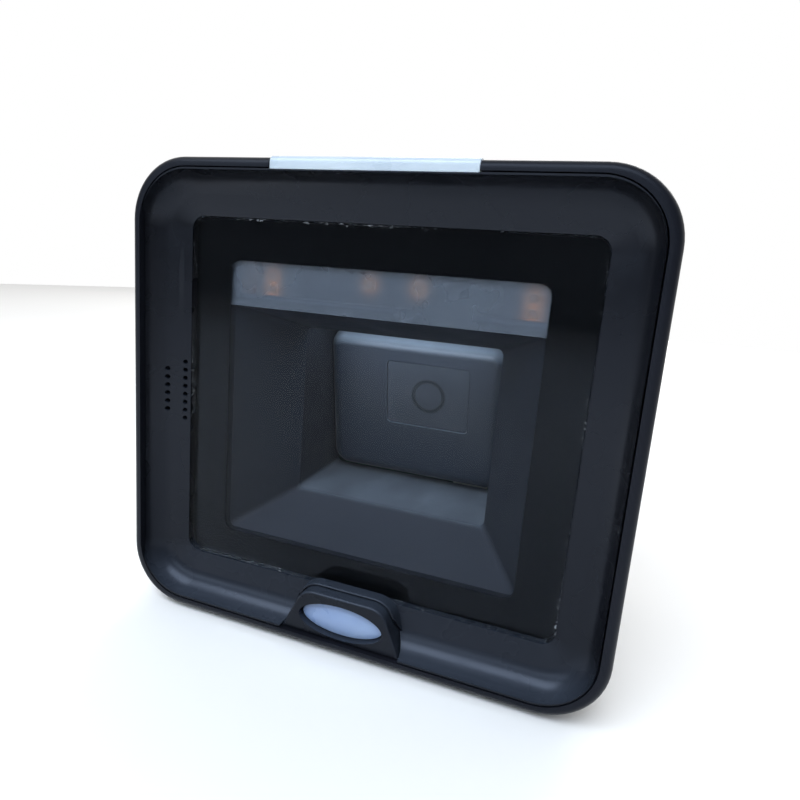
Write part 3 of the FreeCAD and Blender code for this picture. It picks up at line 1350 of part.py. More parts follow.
def make_speaker():
    frame_outer = plate(
        "speaker_outer", speaker_half_width, speaker_half_height, 2.0, speaker_depth, speaker_thick)
    bowl = plate(
        "speaker_bowl", speaker_half_width - 0.9, speaker_half_height - 0.9, 1.4, speaker_depth - 1.0, 3.6)
    keep(cut("speaker_frame", frame_outer, bowl), "speaker_frame", -speaker_side)
    cone = new_body("speaker_cone")
    rim = face_sketch(cone, "cone_rim", speaker_depth + 0.6)
    draw_centred(rim, speaker_half_width - 1.0, speaker_half_height - 1.0, 1.3)
    pad(cone, rim, 0.3, "cone_sheet")
    crown = face_sketch(cone, "cone_crown", speaker_depth + 0.2)
    draw_centred(crown, speaker_half_width - 2.4, speaker_half_height - 2.6, 1.3)
    pad(cone, crown, 0.5, "cone_crown_pad")
    round_edges(cone, edge_at_depth(speaker_depth + 0.2), 0.3, "cone_crown_round")
    keep(cone, "speaker_cone", -speaker_side)
    magnet = plate(
        "speaker_magnet", 3.6, 8.0, 1.0, speaker_depth + speaker_thick, 1.6)
    keep(magnet, "speaker_magnet", -speaker_side)
    gasket = new_body("speaker_gasket")
    outline = face_sketch(gasket, "gasket_outline", speaker_depth - 0.5)
    draw_centred(outline, speaker_half_width, speaker_half_height, 2.0)
    draw_centred(outline, speaker_half_width - 1.2, speaker_half_height - 1.2, 1.5)
    pad(gasket, outline, 0.5, "gasket_ring")
    keep(gasket, "speaker_gasket", -speaker_side)


# Feet, screws, inserts and label

def make_fixings():
    names = ("foot_front_left", "foot_front_right", "foot_back_left", "foot_back_right")
    for name, (across, deep) in zip(names, foot_points()):
        foot = new_body(name)
        profile = side_sketch(foot, name + "_profile")
        draw_polygon(profile, [
            (0, -foot_drop),
            (foot_radius - 0.5, -foot_drop),
            (foot_radius, 0.5 - foot_drop),
            (foot_radius, foot_seat),
            (0, foot_seat),
        ])
        turn = foot.newObject("PartDesign::Revolution", name + "_turn")
        turn.Profile = profile
        turn.ReferenceAxis = (profile, ["V_Axis"])
        turn.Angle = 360
        doc.recompute()
        keep(foot, name, across, deep, -half_height)
    screws = []
    for across in (-well_side, well_side):
        screws.append(screw("housing_screw", across, well_seat, -well_drop, 1.2, 2.9, 2.2, 14.0))
    keep(group("housing_screws", screws), "housing_screws")
    inserts = []
    for across, up in insert_points():
        inserts.append(tube("insert", across, body_depth - insert_long, up, insert_radius, insert_bore, insert_long))
    keep(group("mounting_inserts", inserts), "mounting_inserts")
    label = new_body("rating_label")
    outline = face_sketch(label, "label_outline", body_depth - 0.3)
    draw_round_rectangle(outline, -22.0, 22.0, 10.0, 26.0, 1.2)
    pad(label, outline, 0.15, "label_sheet")
    keep(label, "rating_label")


# Wires

def wire(name, points, radius):
    """A round wire along a smooth curve."""
    curve = Part.BSplineCurve()
    curve.interpolate([Vector(*point) for point in points])
    spine = Part.Wire([curve.toShape()])
    start = curve.value(curve.FirstParameter)
    direction = curve.tangent(curve.FirstParameter)[0]
    section = Part.Wire([Part.makeCircle(radius, start, direction)])
    return spine.makePipeShell([section], True, True)


def harness(label, points, step, radius=0.55):
    """Two wires side by side, the second moved by the step."""
    item = doc.addObject("Part::Feature", label)
    moved = [tuple(value + shift for value, shift in zip(point, step)) for point in points]
    item.Shape = Part.Compound([wire(label, points, radius), wire(label, moved, radius)])
    keep(item, label)


def make_wires():
    board = main_board_front.value
    harness("led_cable", [
        (18.0, led_board_front.value + 1.7, 44.0),
        (18.0, 34.0, 43.0),
        (18.0, 52.0, 37.0),
        (18.0, 68.0, 30.0),
        (18.0, 75.0, 20.0),
        (18.0, board - 3.2, 12.0),
    ], (2.0, 0, 0))
    harness("button_cable", [
        (21.5, switch_board_front.value + 1.7, -62.0),
        (21.5, 30.0, -62.5),
        (21.5, 55.0, -62.5),
        (21.8, 70.0, -61.0),
        (22.0, board - 3.2, -56.6),
    ], (2.0, 0, 0))
    harness("speaker_cable", [
        (-speaker_side.value, speaker_depth.value + 6.4, -2.0),
        (-62.0, 30.0, -12.0),
        (-54.0, 46.0, -24.0),
        (-42.0, 64.0, -31.0),
        (-27.0, board - 3.2, -31.6),
    ], (0, 0, 1.3))
    flex = new_body("camera_flex")
    profile = side_sketch(flex, "flex_profile", 13.0)
    start = camera_back(as_size(-18.0)).value + (camera_long + board_thick).value + 0.2
    draw_polygon(profile, [
        (start, camera_rise(as_size(-16.0)).value),
        (start + 0.4, camera_rise(as_size(-16.0)).value),
        (board - 1.3, -32.0),
        (board - 1.3, -34.0),
        (board - 1.6, -34.0),
        (board - 1.6, -32.0),
    ])
    pad(flex, profile, 11.0, "flex_strip", deeper=False)
    keep(flex, "camera_flex")


def check_and_write():
    """Refuses any broken object, then writes one file per sub-part."""
    doc.recompute()
    for item in doc.Objects:
        if "Invalid" in item.State or "Error" in item.State:
            raise RuntimeError(item.Label + " is broken: " + str(item.State))
    os.makedirs("parts", exist_ok=True)
    for item in sub_parts:
        shape = item.Shape
        if shape.isNull() or not shape.isValid():
            raise RuntimeError(item.Label + " has a bad shape")
        shape.exportStep("parts/" + item.Label + ".step")


make_rear_housing()
make_front_bezel()
make_window()
make_light_bar()
make_button()
make_shroud()
make_lights()
make_camera()
make_main_board()
make_socket()
make_speaker()
make_fixings()
make_wires()
check_and_write()
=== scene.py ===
import json
import math

import bpy
from mathutils import Matrix, Vector


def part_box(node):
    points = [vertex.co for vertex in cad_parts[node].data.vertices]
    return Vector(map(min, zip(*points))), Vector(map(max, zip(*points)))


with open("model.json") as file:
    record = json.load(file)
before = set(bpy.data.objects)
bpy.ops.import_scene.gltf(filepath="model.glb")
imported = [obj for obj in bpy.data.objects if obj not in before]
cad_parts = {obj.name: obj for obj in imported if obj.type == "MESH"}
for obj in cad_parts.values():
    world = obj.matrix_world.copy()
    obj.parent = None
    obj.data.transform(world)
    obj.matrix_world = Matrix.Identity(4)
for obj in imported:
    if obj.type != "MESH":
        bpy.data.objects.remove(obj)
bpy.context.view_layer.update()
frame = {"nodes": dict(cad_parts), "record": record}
nodes = frame["nodes"]

MM = 0.001

# The face frame, in millimetres: across to the right, depth behind the front plane, up from the face centre
HALF_DEPTH = 46.0
FACE_RISE = 70.5

# Places that the materials need, in the face frame
# LED_SPOTS and LED_HALO place the painted glow round each LED
LED_SPOTS = [(-41.5, 37.8), (-41.5, 33.4), (41.5, 37.8), (41.5, 33.4), (-7.7, 37.6), (7.7, 37.6)]
LED_BOARD_DEPTH = 25.0
LED_HALO = 6.0
# From DUCT_START to DUCT_LIT the duct floor is painted lighter, a painted pool of light
DUCT_START = 32.5
DUCT_LIT = 35.0

# The lens looks down by this angle
LENS_TILT = math.radians(11.1)

# Heights of the surface relief, in metres
GRAIN_RELIEF = 0.00004
FINE_RELIEF = 0.00003

NOISE_ROUGHNESS = 0.55


def face_point(across, depth, up):
    """A point of the face frame, in millimetres, as a row-frame point in metres."""
    return Vector((across * MM, (depth - HALF_DEPTH) * MM, (up + FACE_RISE) * MM))


def box_middle_and_half(node):
    """Middle and half size of a CAD node's box at rest."""
    low, high = (Vector(corner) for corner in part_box(node))
    return (low + high) / 2, (high - low) / 2


LENS_POINT = box_middle_and_half("lens_barrel")[0]
LENS_AXIS = (0.0, math.cos(LENS_TILT), math.sin(LENS_TILT))


def shade(colour, factor):
    return tuple(channel * factor for channel in colour)


def colour_sockets(sockets):
    return [socket for socket in sockets if socket.type == "RGBA"]


# Materials

class Graph:
    """Builds one procedural material node by node."""

    def __init__(self, name):
        self.material = bpy.data.materials.new(name)
        self.material.use_nodes = True
        self.tree = self.material.node_tree
        self.tree.nodes.clear()
        self.output = self.add("ShaderNodeOutputMaterial")
        self.place = self.add("ShaderNodeTexCoord").outputs["Object"]

    def add(self, kind, **values):
        node = self.tree.nodes.new(kind)
        for name, value in values.items():
            setattr(node, name, value)
        return node

    def link(self, source, target):
        self.tree.links.new(source, target)

    def put(self, target, value):
        if isinstance(value, bpy.types.NodeSocket):
            self.link(value, target)
        elif isinstance(value, tuple) and len(value) == 3 and target.type == "RGBA":
            target.default_value = (*value, 1.0)
        else:
            target.default_value = value

    def math(self, operation, first, second=0.0):
        node = self.add("ShaderNodeMath", operation=operation)
        self.put(node.inputs[0], first)
        self.put(node.inputs[1], second)
        return node.outputs[0]

    def split(self, vector):
        """The X, Y and Z of a vector, by name."""
        node = self.add("ShaderNodeSeparateXYZ")
        self.link(vector, node.inputs[0])
        return node.outputs

    def upwards(self):
        """1 where the surface faces straight up, 0 where it is upright, -1 where it faces down."""
        return self.split(self.add("ShaderNodeNewGeometry").outputs["Normal"])["Z"]

    def stretched(self, scale):
        node = self.add("ShaderNodeMapping")
        self.link(self.place, node.inputs["Vector"])
        node.inputs["Scale"].default_value = scale
        return node.outputs[0]

    def noise(self, scale, detail=3.0, place=None):
        node = self.add("ShaderNodeTexNoise")
        self.link(place or self.place, node.inputs["Vector"])
        node.inputs["Scale"].default_value = scale
        node.inputs["Detail"].default_value = detail
        node.inputs["Roughness"].default_value = NOISE_ROUGHNESS
        return node.outputs["Fac"]

    def cells(self, scale):
        """Distance to the nearest of many scattered points."""
        node = self.add("ShaderNodeTexVoronoi", feature="F1")
        self.link(self.place, node.inputs["Vector"])
        node.inputs["Scale"].default_value = scale
        return node.outputs["Distance"]

    def remap(self, value, low, high, out_low=0.0, out_high=1.0):
        node = self.add("ShaderNodeMapRange")
        self.put(node.inputs["Value"], value)
        node.inputs["From Min"].default_value = low
        node.inputs["From Max"].default_value = high
        node.inputs["To Min"].default_value = out_low
        node.inputs["To Max"].default_value = out_high
        return node.outputs["Result"]

    def blend(self, share, first, second):
        node = self.add("ShaderNodeMix", data_type="RGBA")
        self.put(node.inputs["Factor"], share)
        for socket, colour in zip(colour_sockets(node.inputs), (first, second)):
            self.put(socket, colour)
        return colour_sockets(node.outputs)[0]

    def bump(self, height, strength, distance):
        node = self.add("ShaderNodeBump")
        self.link(height, node.inputs["Height"])
        node.inputs["Strength"].default_value = strength
        node.inputs["Distance"].default_value = distance
        return node.outputs["Normal"]

    def shader(self, kind, **values):
        node = self.add(kind)
        for name, value in values.items():
            self.put(node.inputs[name.replace("_", " ")], value)
        return node.outputs[0]

    def mix(self, share, first, second):
        """The first shader, giving way to the second as the share goes from 0 to 1."""
        node = self.add("ShaderNodeMixShader")
        for socket, value in zip(node.inputs, (share, first, second)):
            self.put(socket, value)
        return node.outputs[0]

    def finish(self, surface):
        self.link(surface, self.output.inputs["Surface"])
        return self.material


def moulded(name, base, light, roughness, grain=2600.0, bump=0.06, specular=0.4, wear=0.012,
            tint=(1.0, 1.0, 1.0), painted_top_light=None):
    """Moulded plastic: fine spark-eroded grain, faint flow marks, hairline scuffs and dust.

    The faces that look up take the given lighter colour, a painted sheen.
    """
    graph = Graph(name)
    flow = graph.noise(9.0, 4.0)
    cloud = graph.noise(60.0, 3.0)
    fine = graph.noise(grain, 2.0)
    pits = graph.cells(grain * 0.6)
    scuffs = graph.noise(260.0, 2.0, place=graph.stretched((1.0, 1.0, 0.06)))
    scuffs = graph.remap(scuffs, 0.66, 0.74)
    specks = graph.remap(graph.cells(420.0), 0.055, 0.03)
    tone = graph.remap(graph.math("ADD", flow, cloud), 0.7, 1.3)
    colour = graph.blend(tone, base, light)
    pale = tuple(min(1.0, channel + wear) for channel in light)
    colour = graph.blend(graph.math("MULTIPLY", scuffs, 0.20), colour, pale)
    colour = graph.blend(graph.math("MULTIPLY", specks, 0.25), colour, pale)
    # Painted sheen: the faces that look up are lighter
    if painted_top_light is not None:
        colour = graph.blend(graph.remap(graph.upwards(), 0.05, 0.75), colour, painted_top_light)
    rough = graph.remap(cloud, 0.3, 0.7, roughness - 0.05, roughness + 0.05)
    rough = graph.math("ADD", rough, graph.math("MULTIPLY", scuffs, 0.08))
    height = graph.math("ADD", fine, graph.math("MULTIPLY", pits, 0.6))
    surface = graph.shader(
        "ShaderNodeBsdfPrincipled",
        Base_Color=colour,
        Roughness=rough,
        Normal=graph.bump(height, bump, GRAIN_RELIEF),
        Specular_IOR_Level=specular,
        Specular_Tint=tint,
    )
    return graph.finish(surface)


def metal(name, colour, roughness):
    """Plain metal with turning or brushing marks and slight tarnish."""
    graph = Graph(name)
    marks = graph.noise(900.0, 2.0, place=graph.stretched((1.0, 40.0, 1.0)))
    stain = graph.noise(160.0, 3.0)
    tone = graph.blend(graph.remap(stain, 0.45, 0.75), colour, shade(colour, 0.62))
    rough = graph.remap(marks, 0.3, 0.7, roughness - 0.08, roughness + 0.12)
    surface = graph.shader(
        "ShaderNodeBsdfPrincipled",
        Base_Color=tone,
        Metallic=1.0,
        Roughness=rough,
        Normal=graph.bump(marks, 0.2, FINE_RELIEF),
    )
    return graph.finish(surface)


def board(name):
    """Solder mask over copper tracks, with vias."""
    graph = Graph(name)
    tracks = graph.noise(420.0, 0.0, place=graph.stretched((1.0, 1.0, 0.12)))
    tracks = graph.remap(tracks, 0.54, 0.56)
    vias = graph.remap(graph.cells(520.0), 0.12, 0.09)
    colour = graph.blend(tracks, (0.008, 0.060, 0.028), (0.020, 0.110, 0.050))
    colour = graph.blend(vias, colour, (0.55, 0.50, 0.38))
    surface = graph.shader(
        "ShaderNodeBsdfPrincipled",
        Base_Color=colour,
        Roughness=graph.remap(graph.noise(200.0), 0.3, 0.7, 0.25, 0.42),
        Normal=graph.bump(tracks, 0.3, GRAIN_RELIEF),
    )
    return graph.finish(surface)


def dusty_with_painted_top_light(name, wall, floor, far_floor=None, rough=0.52, specular=0.12, slope=(0.1, 0.8)):
    """Matt plastic with dust specks; faces that look up are painted lighter as light from above, more so in
    the duct.

    The slope gives the upward share of the surface's direction where the painted top light starts and where
    it is full.
    """
    graph = Graph(name)
    cloud = graph.noise(70.0, 4.0)
    fine = graph.noise(1500.0, 2.0)
    # Painted light from above: the faces that look up are lighter
    painted_top_light = graph.remap(graph.upwards(), *slope)
    painted_top_light = graph.math("MULTIPLY", painted_top_light, graph.remap(cloud, 0.2, 0.7, 0.75, 1.0))
    # Painted pool of light: the duct floor lighter, with lighter streaks
    if far_floor is not None:
        inside = graph.remap(
            graph.split(graph.place)["Y"], (DUCT_START - HALF_DEPTH) * MM, (DUCT_LIT - HALF_DEPTH) * MM)
        streak = graph.noise(60.0, 3.0, place=graph.stretched((1.0, 0.5, 1.0)))
        streaked = graph.blend(graph.remap(streak, 0.35, 0.65), far_floor, shade(far_floor, 1.5))
        floor = graph.blend(inside, floor, streaked)
    colour = graph.blend(painted_top_light, wall, floor)
    specks = graph.remap(graph.cells(700.0), 0.05, 0.03)
    colour = graph.blend(graph.math("MULTIPLY", specks, 0.2), colour, (0.16, 0.17, 0.19))
    surface = graph.shader(
        "ShaderNodeBsdfPrincipled",
        Base_Color=colour,
        Roughness=graph.remap(cloud, 0.3, 0.7, rough - 0.07, rough + 0.08),
        Normal=graph.bump(fine, 0.03, GRAIN_RELIEF),
        Specular_IOR_Level=specular,
    )
    return graph.finish(surface)


def ring_share(graph, radius, width):
    """1 on a circle round the axis of the lens, falling to 0 half a width away from it."""
    away = graph.add("ShaderNodeVectorMath", operation="SUBTRACT")
    graph.link(graph.place, away.inputs[0])
    away.inputs[1].default_value = LENS_POINT
    across = graph.add("ShaderNodeVectorMath", operation="CROSS_PRODUCT")
    graph.link(away.outputs[0], across.inputs[0])
    across.inputs[1].default_value = LENS_AXIS
    length = graph.add("ShaderNodeVectorMath", operation="LENGTH")
    graph.link(across.outputs[0], length.inputs[0])
    off = graph.math("ABSOLUTE", graph.math("SUBTRACT", length.outputs["Value"], radius * MM))
    return graph.remap(off, width * 0.5 * MM, width * 0.2 * MM)


def smoked(name):
    """Smoked camera window: a grey film, with the dark lens rings painted on it as painted shade."""
    graph = Graph(name)
    cloud = graph.noise(80.0, 3.0)
    wipes = graph.noise(60.0, 3.0, place=graph.stretched((1.0, 1.0, 3.0)))
    ring = ring_share(graph, 5.5, 1.9)
    inner_ring_shade = ring_share(graph, 3.2, 0.7)
    colour = graph.blend(graph.remap(cloud, 0.3, 0.7), (0.029, 0.037, 0.050), (0.036, 0.044, 0.058))
    # Painted shade: the dark lens rings seen through the window
    colour = graph.blend(graph.math("MULTIPLY", ring, 0.85), colour, (0.004, 0.006, 0.010))
    colour = graph.blend(graph.math("MULTIPLY", inner_ring_shade, 0.35), colour, (0.012, 0.016, 0.024))
    surface = graph.shader(
        "ShaderNodeBsdfPrincipled",
        Base_Color=colour,
        Roughness=graph.remap(wipes, 0.35, 0.65, 0.16, 0.24),
        Specular_IOR_Level=0.25,
    )
    return graph.finish(surface)


def board_with_painted_glow(name):
    """White solder mask round the LEDs, with a painted warm glow round each LED."""
    return painted_led_glow(name, (0.42, 0.43, 0.42), 900.0)


def white_with_painted_glow(name):
    """White reflector wall, with a painted warm glow next to the LEDs."""
    return painted_led_glow(name, (0.66, 0.66, 0.64), 1600.0)


def painted_led_glow(name, base, grain):
    """Pale surface with painted light round the LEDs: an orange tint and an emitted glow."""
    graph = Graph(name)
    near = led_share(graph)
    fine = graph.noise(grain, 2.0)
    colour = graph.blend(graph.remap(fine, 0.3, 0.7), base, shade(base, 0.93))
    # Painted light: an orange tint and an emitted glow round each LED
    surface = graph.shader(
        "ShaderNodeBsdfPrincipled",
        Base_Color=graph.blend(graph.math("MINIMUM", near, 1.0), colour, (0.75, 0.36, 0.10)),
        Roughness=graph.remap(fine, 0.3, 0.7, 0.4, 0.55),
        Emission_Color=(1.0, 0.42, 0.12),
        Emission_Strength=graph.math("MULTIPLY", near, 1.9),
    )
    return graph.finish(surface)


def milky(name, core, edge, roughness=0.35, glow=0.0, glow_colour=(1.0, 1.0, 1.0)):
    """Milky translucent plastic that lets some light through; its glow, where given, is painted light."""
    graph = Graph(name)
    cloud = graph.noise(45.0, 4.0)
    fine = graph.noise(1600.0, 2.0)
    specks = graph.remap(graph.cells(380.0), 0.05, 0.03)
    colour = graph.blend(graph.remap(cloud, 0.35, 0.65), core, edge)
    colour = graph.blend(graph.math("MULTIPLY", specks, 0.2), colour, shade(core, 0.55))
    rough = graph.remap(cloud, 0.3, 0.7, roughness - 0.06, roughness + 0.06)
    surface = graph.shader(
        "ShaderNodeBsdfPrincipled",
        Base_Color=colour,
        Roughness=rough,
        Normal=graph.bump(fine, 0.15, FINE_RELIEF),
        Subsurface_Weight=0.35,
        Subsurface_Radius=(0.004, 0.004, 0.005),
        Subsurface_Scale=0.6,
        Emission_Color=glow_colour,
        Emission_Strength=glow,
    )
    return graph.finish(surface)


def edge_dust(graph, node):
    """Dust and lint caught in the gap along the edge of a pane."""
    band = 1.1 * MM
    fade = 0.7 * MM
    middle, half = box_middle_and_half(node)
    place = graph.split(graph.place)
    reach_x = graph.math("SUBTRACT", graph.math("ABSOLUTE", place["X"]), half.x - band)
    rise = graph.math("ABSOLUTE", graph.math("SUBTRACT", place["Z"], middle.z))
    reach_z = graph.math("SUBTRACT", rise, half.z - band)
    near = graph.remap(graph.math("MAXIMUM", reach_x, reach_z), 0.0, fade)
    lint = graph.remap(graph.noise(1100.0, 2.0), 0.60, 0.66)
    patch = graph.remap(graph.noise(48.0, 2.0), 0.47, 0.60)
    return graph.math("MULTIPLY", graph.math("MULTIPLY", near, lint), patch)


def pane(name, tint, ior, haze, edge=None):
    """Clear sheet: mirrors by Fresnel, passes the rest, with a trace of dust and wiping marks."""
    graph = Graph(name)
    wipes = graph.noise(26.0, 4.0, place=graph.stretched((1.0, 1.0, 3.2)))
    dust = graph.remap(graph.cells(900.0), 0.045, 0.02)
    patch = graph.remap(graph.noise(30.0, 2.0), 0.52, 0.70)
    dust = graph.math("MULTIPLY", dust, patch)
    if edge is not None:
        dust = graph.math("ADD", dust, edge_dust(graph, edge))
    fresnel = graph.add("ShaderNodeFresnel")
    fresnel.inputs["IOR"].default_value = ior
    clear = graph.shader("ShaderNodeBsdfTransparent", Color=tint)
    gloss = graph.shader(
        "ShaderNodeBsdfGlossy",
        Color=(1.0, 1.0, 1.0),
        Roughness=graph.remap(wipes, 0.35, 0.65, 0.02, 0.05),
    )
    film = graph.shader("ShaderNodeBsdfDiffuse", Color=(0.60, 0.64, 0.70))
    film_share = graph.remap(wipes, 0.4, 0.8, haze * 0.5, haze)
    soiled = graph.math("ADD", graph.math("MULTIPLY", dust, 0.35), film_share)
    return graph.finish(graph.mix(fresnel.outputs[0], graph.mix(soiled, clear, film), gloss))


def led_share(graph):
    """Nearness to the LEDs: each adds 1 at its own place, falling smoothly to 0 at the edge of its halo."""
    total = None
    for across, up in LED_SPOTS:
        gap = graph.add("ShaderNodeVectorMath", operation="DISTANCE")
        graph.link(graph.place, gap.inputs[0])
        gap.inputs[1].default_value = face_point(across, LED_BOARD_DEPTH, up)
        near = graph.remap(gap.outputs["Value"], LED_HALO * MM, 0.0)
        near = graph.math("POWER", near, 2.0)
        total = near if total is None else graph.math("ADD", total, near)
    return total


def frosted(name):
    """Frosted sheet: mostly a milky skin, and the rest lets the LEDs behind it show."""
    skin_share = 0.62
    graph = Graph(name)
    fine = graph.noise(2400.0, 2.0)
    cloud = graph.noise(50.0, 3.0)
    skin = graph.shader(
        "ShaderNodeBsdfPrincipled",
        Base_Color=graph.blend(graph.remap(cloud, 0.3, 0.7), (0.105, 0.122, 0.150), (0.130, 0.147, 0.175)),
        Roughness=graph.remap(cloud, 0.3, 0.7, 0.42, 0.55),
        Normal=graph.bump(fine, 0.3, FINE_RELIEF),
    )
    clear = graph.shader("ShaderNodeBsdfTransparent", Color=(0.80, 0.86, 0.92))
    return graph.finish(graph.mix(skin_share, clear, skin))


def lamp(name, colour, strength):
    """Yellow phosphor under a clear dome."""
    graph = Graph(name)
    grain = graph.noise(1800.0, 2.0)
    tone = graph.blend(grain, (0.80, 0.52, 0.12), (0.95, 0.74, 0.30))
    surface = graph.shader(
        "ShaderNodeBsdfPrincipled",
        Base_Color=tone,
        Roughness=graph.remap(grain, 0.3, 0.7, 0.2, 0.35),
        Emission_Color=colour,
        Emission_Strength=strength,
    )
    return graph.finish(surface)


def paper(name):
    """Blank silvered label stock."""
    graph = Graph(name)
    fibre = graph.noise(900.0, 4.0, place=graph.stretched((1.0, 1.0, 0.3)))
    tone = graph.blend(fibre, (0.24, 0.245, 0.255), (0.30, 0.305, 0.31))
    surface = graph.shader(
        "ShaderNodeBsdfPrincipled",
        Base_Color=tone,
        Roughness=graph.remap(fibre, 0.3, 0.7, 0.4, 0.6),
        Normal=graph.bump(fibre, 0.2, FINE_RELIEF),
    )
    return graph.finish(surface)


COOL = (0.74, 0.82, 1.0)

# One look for each material slot of the record, and for the nodes that OWN_LOOKS sets apart
LOOKS = {
    "housing_black": moulded(
        "look_housing", (0.0050, 0.0058, 0.0085), (0.0075, 0.0082, 0.0120), 0.38, specular=0.15, tint=COOL),
    # The bezel's lighter upward faces are a painted sheen
    "bezel_black": moulded(
        "look_bezel", (0.0032, 0.0038, 0.0055), (0.0048, 0.0054, 0.0078), 0.28, bump=0.03, specular=0.25,
        tint=COOL, painted_top_light=(0.024, 0.030, 0.042)),
    "window_clear": pane("look_window", (0.94, 0.96, 0.98), 1.12, 0.004, edge="window_glass"),
    "border_ink": moulded(
        "look_border", (0.0008, 0.0011, 0.0014), (0.0012, 0.0016, 0.0020), 0.05, bump=0.0, specular=0.14,
        tint=COOL),
    "foam_black": moulded("look_foam", (0.010, 0.010, 0.010), (0.020, 0.020, 0.020), 0.9, 700.0, 0.9),
    # The bar's faint glow is painted light
    "bar_milky": milky("look_bar", (0.38, 0.45, 0.52), (0.44, 0.51, 0.57), 0.30, 0.03, (0.85, 0.93, 1.0)),
    "button_milky": milky("look_button", (0.20, 0.28, 0.46), (0.26, 0.35, 0.53), 0.30),
    "board_green": board("look_board"),
    "screw_steel": metal("look_steel", (0.50, 0.50, 0.52), 0.32),
    "insert_brass": metal("look_brass", (0.72, 0.52, 0.22), 0.30),
    # Shroud: upward faces painted lighter, and the duct floor painted lighter as a pool of light
    "shroud_grey": dusty_with_painted_top_light("look_shroud", (0.018, 0.021, 0.029), (0.042, 0.047, 0.060), (0.105, 0.120, 0.140)),
    "diffuser_frost": frosted("look_diffuser"),
    "led_yellow": lamp("look_led", (1.0, 0.45, 0.14), 0.7),
    # The camera box's upward faces are painted lighter: a painted highlight on its top fillet
    "camera_black": dusty_with_painted_top_light(
        "look_camera", (0.021, 0.028, 0.042), (0.25, 0.30, 0.36), rough=0.36, specular=0.30,
        slope=(-0.10, 0.50)),
    "camera_clear": smoked("look_camera_window"),
    "lens_glass": pane("look_lens", (0.35, 0.28, 0.48), 1.75, 0.0),
    "anodised_black": metal("look_anodised", (0.05, 0.05, 0.055), 0.35),
    "chip_black": moulded("look_chip", (0.012, 0.012, 0.013), (0.018, 0.018, 0.019), 0.6, 900.0, 0.5),
    "can_silver": metal("look_can", (0.62, 0.62, 0.64), 0.28),
    "connector_white": moulded("look_connector", (0.62, 0.60, 0.54), (0.70, 0.68, 0.62), 0.45),
    "contact_gold": metal("look_gold", (0.85, 0.62, 0.25), 0.22),
    "magnet_steel": metal("look_magnet", (0.34, 0.34, 0.36), 0.3),
    "cone_film": moulded("look_film", (0.05, 0.05, 0.055), (0.07, 0.07, 0.075), 0.3),
    "foot_rubber": moulded("look_rubber", (0.014, 0.014, 0.015), (0.022, 0.022, 0.023), 0.8, 2200.0, 0.3),
    "label_silver": paper("look_label"),
    # The LED board and reflector carry a painted glow round the LEDs
    "glowing_board": board_with_painted_glow("look_led_board"),
    "glowing_white": white_with_painted_glow("look_reflector_white"),
    "wire_black": moulded("look_wire", (0.012, 0.012, 0.012), (0.02, 0.02, 0.02), 0.4),
    "flex_amber": moulded("look_flex", (0.30, 0.13, 0.02), (0.42, 0.20, 0.04), 0.3),
}

OWN_LOOKS = {
    "led_board": "glowing_board",
    "led_reflector": "glowing_white",
}

slots = {entry["node"]: entry["material_slot"] for entry in frame["record"]["subparts"]}
for name, item in nodes.items():
    look = LOOKS[OWN_LOOKS.get(name, slots[name])]
    for slot in item.material_slots:
        slot.material = look


# Stage, camera and light

DAYLIGHT = (0.80, 0.89, 1.0)
LOW_DAYLIGHT = (0.78, 0.89, 1.0)
FLOOR_REACH = 1.8

# The camera's lens in millimetres, its place in metres, and the directions of its right and its top
CAMERA_LENS = 26.715
CAMERA_PLACE = (0.0641, -0.1891, 0.1098)
CAMERA_RIGHT = (0.9345, 0.3466, 0.0813)
CAMERA_UP = (-0.1427, 0.1554, 0.9775)


def make_floor():
    """A plain pale floor."""
    mesh = bpy.data.meshes.new("floor")
    reach = FLOOR_REACH
    corners = [(-reach, -reach, 0), (reach, -reach, 0), (reach, reach, 0), (-reach, reach, 0)]
    mesh.from_pydata(corners, [], [(0, 1, 2, 3)])
    floor = bpy.data.objects.new("floor", mesh)
    bpy.context.scene.collection.objects.link(floor)
    graph = Graph("look_floor")
    cloud = graph.noise(4.0, 3.0)
    surface = graph.shader(
        "ShaderNodeBsdfPrincipled",
        Base_Color=graph.blend(cloud, (0.90, 0.89, 0.87), (0.92, 0.91, 0.89)),
        Roughness=0.9,
        Specular_IOR_Level=0.1,
    )
    mesh.materials.append(graph.finish(surface))


def make_camera():
    """The camera, its up direction squared to its right."""
    data = bpy.data.cameras.new("camera")
    data.lens = CAMERA_LENS
    data.sensor_width = 36.0
    data.clip_start = 0.001
    camera = bpy.data.objects.new("camera", data)
    right = Vector(CAMERA_RIGHT).normalized()
    up = Vector(CAMERA_UP)
    up = (up - right * up.dot(right)).normalized()
    back = right.cross(up)
    turn = Matrix((right, up, back)).transposed().to_4x4()
    camera.matrix_world = Matrix.Translation(CAMERA_PLACE) @ turn
    bpy.context.scene.collection.objects.link(camera)
    bpy.context.scene.camera = camera


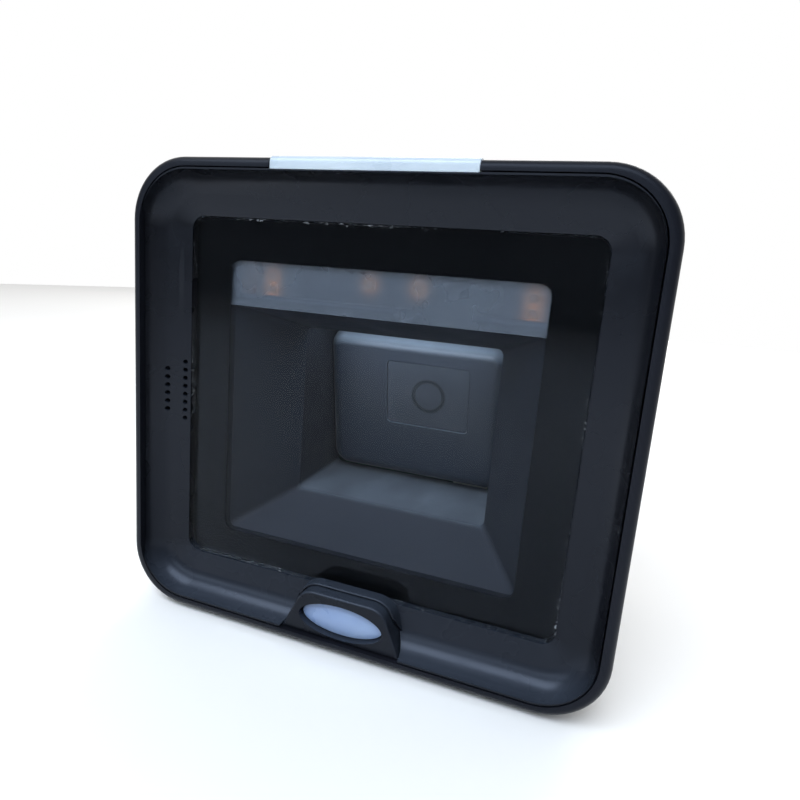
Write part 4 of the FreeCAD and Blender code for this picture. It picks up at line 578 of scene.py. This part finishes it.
def make_light(name, place, target, size, power, colour=(1.0, 1.0, 1.0)):
    """A soft rectangular light that faces its target; size is its width and height in metres."""
    data = bpy.data.lights.new(name, "AREA")
    data.shape = "RECTANGLE"
    data.size, data.size_y = size
    data.energy = power
    data.color = colour
    light = bpy.data.objects.new(name, data)
    light.location = place
    light.rotation_euler = (Vector(target) - Vector(place)).to_track_quat("-Z", "Y").to_euler()
    bpy.context.scene.collection.objects.link(light)


def make_world():
    """A studio that is white behind the object and dim in front of it."""
    world = bpy.data.worlds.new("studio")
    world.use_nodes = True
    tree = world.node_tree
    tree.nodes.clear()
    output = tree.nodes.new("ShaderNodeOutputWorld")
    background = tree.nodes.new("ShaderNodeBackground")
    coordinate = tree.nodes.new("ShaderNodeTexCoord")
    split = tree.nodes.new("ShaderNodeSeparateXYZ")
    behind = tree.nodes.new("ShaderNodeMapRange")
    behind.inputs["From Min"].default_value = -0.25
    behind.inputs["From Max"].default_value = 0.25
    mix = tree.nodes.new("ShaderNodeMix")
    mix.data_type = "RGBA"
    in_front, at_back = colour_sockets(mix.inputs)
    in_front.default_value = (0.22, 0.23, 0.25, 1.0)
    at_back.default_value = (1.0, 1.0, 1.0, 1.0)
    tree.links.new(coordinate.outputs["Generated"], split.inputs[0])
    tree.links.new(split.outputs["Y"], behind.inputs["Value"])
    tree.links.new(behind.outputs["Result"], mix.inputs["Factor"])
    tree.links.new(colour_sockets(mix.outputs)[0], background.inputs["Color"])
    tree.links.new(background.outputs[0], output.inputs["Surface"])
    background.inputs["Strength"].default_value = 1.0
    bpy.context.scene.world = world
    bpy.context.scene.view_settings.view_transform = "Standard"


make_floor()
make_camera()
make_world()
make_light(
    "key",
    place=(-0.14, -0.50, 0.72),
    target=(0.0, 0.0, 0.06),
    size=(0.90, 0.42),
    power=8.0,
    colour=DAYLIGHT,
)
make_light(
    "low",
    place=(-0.45, -1.10, 0.47),
    target=(0.0, 0.0, 0.08),
    size=(1.2, 0.30),
    power=3.0,
    colour=LOW_DAYLIGHT,
)
make_light(
    "back",
    place=(0.10, 1.70, 1.10),
    target=(0.0, 1.1, 0.0),
    size=(1.8, 1.0),
    power=24.0,
)
make_light(
    "inside",
    place=face_point(0, 33, 20.5),
    target=face_point(0, 58, 6),
    size=(0.056, 0.003),
    power=0.008,
    colour=DAYLIGHT,
)
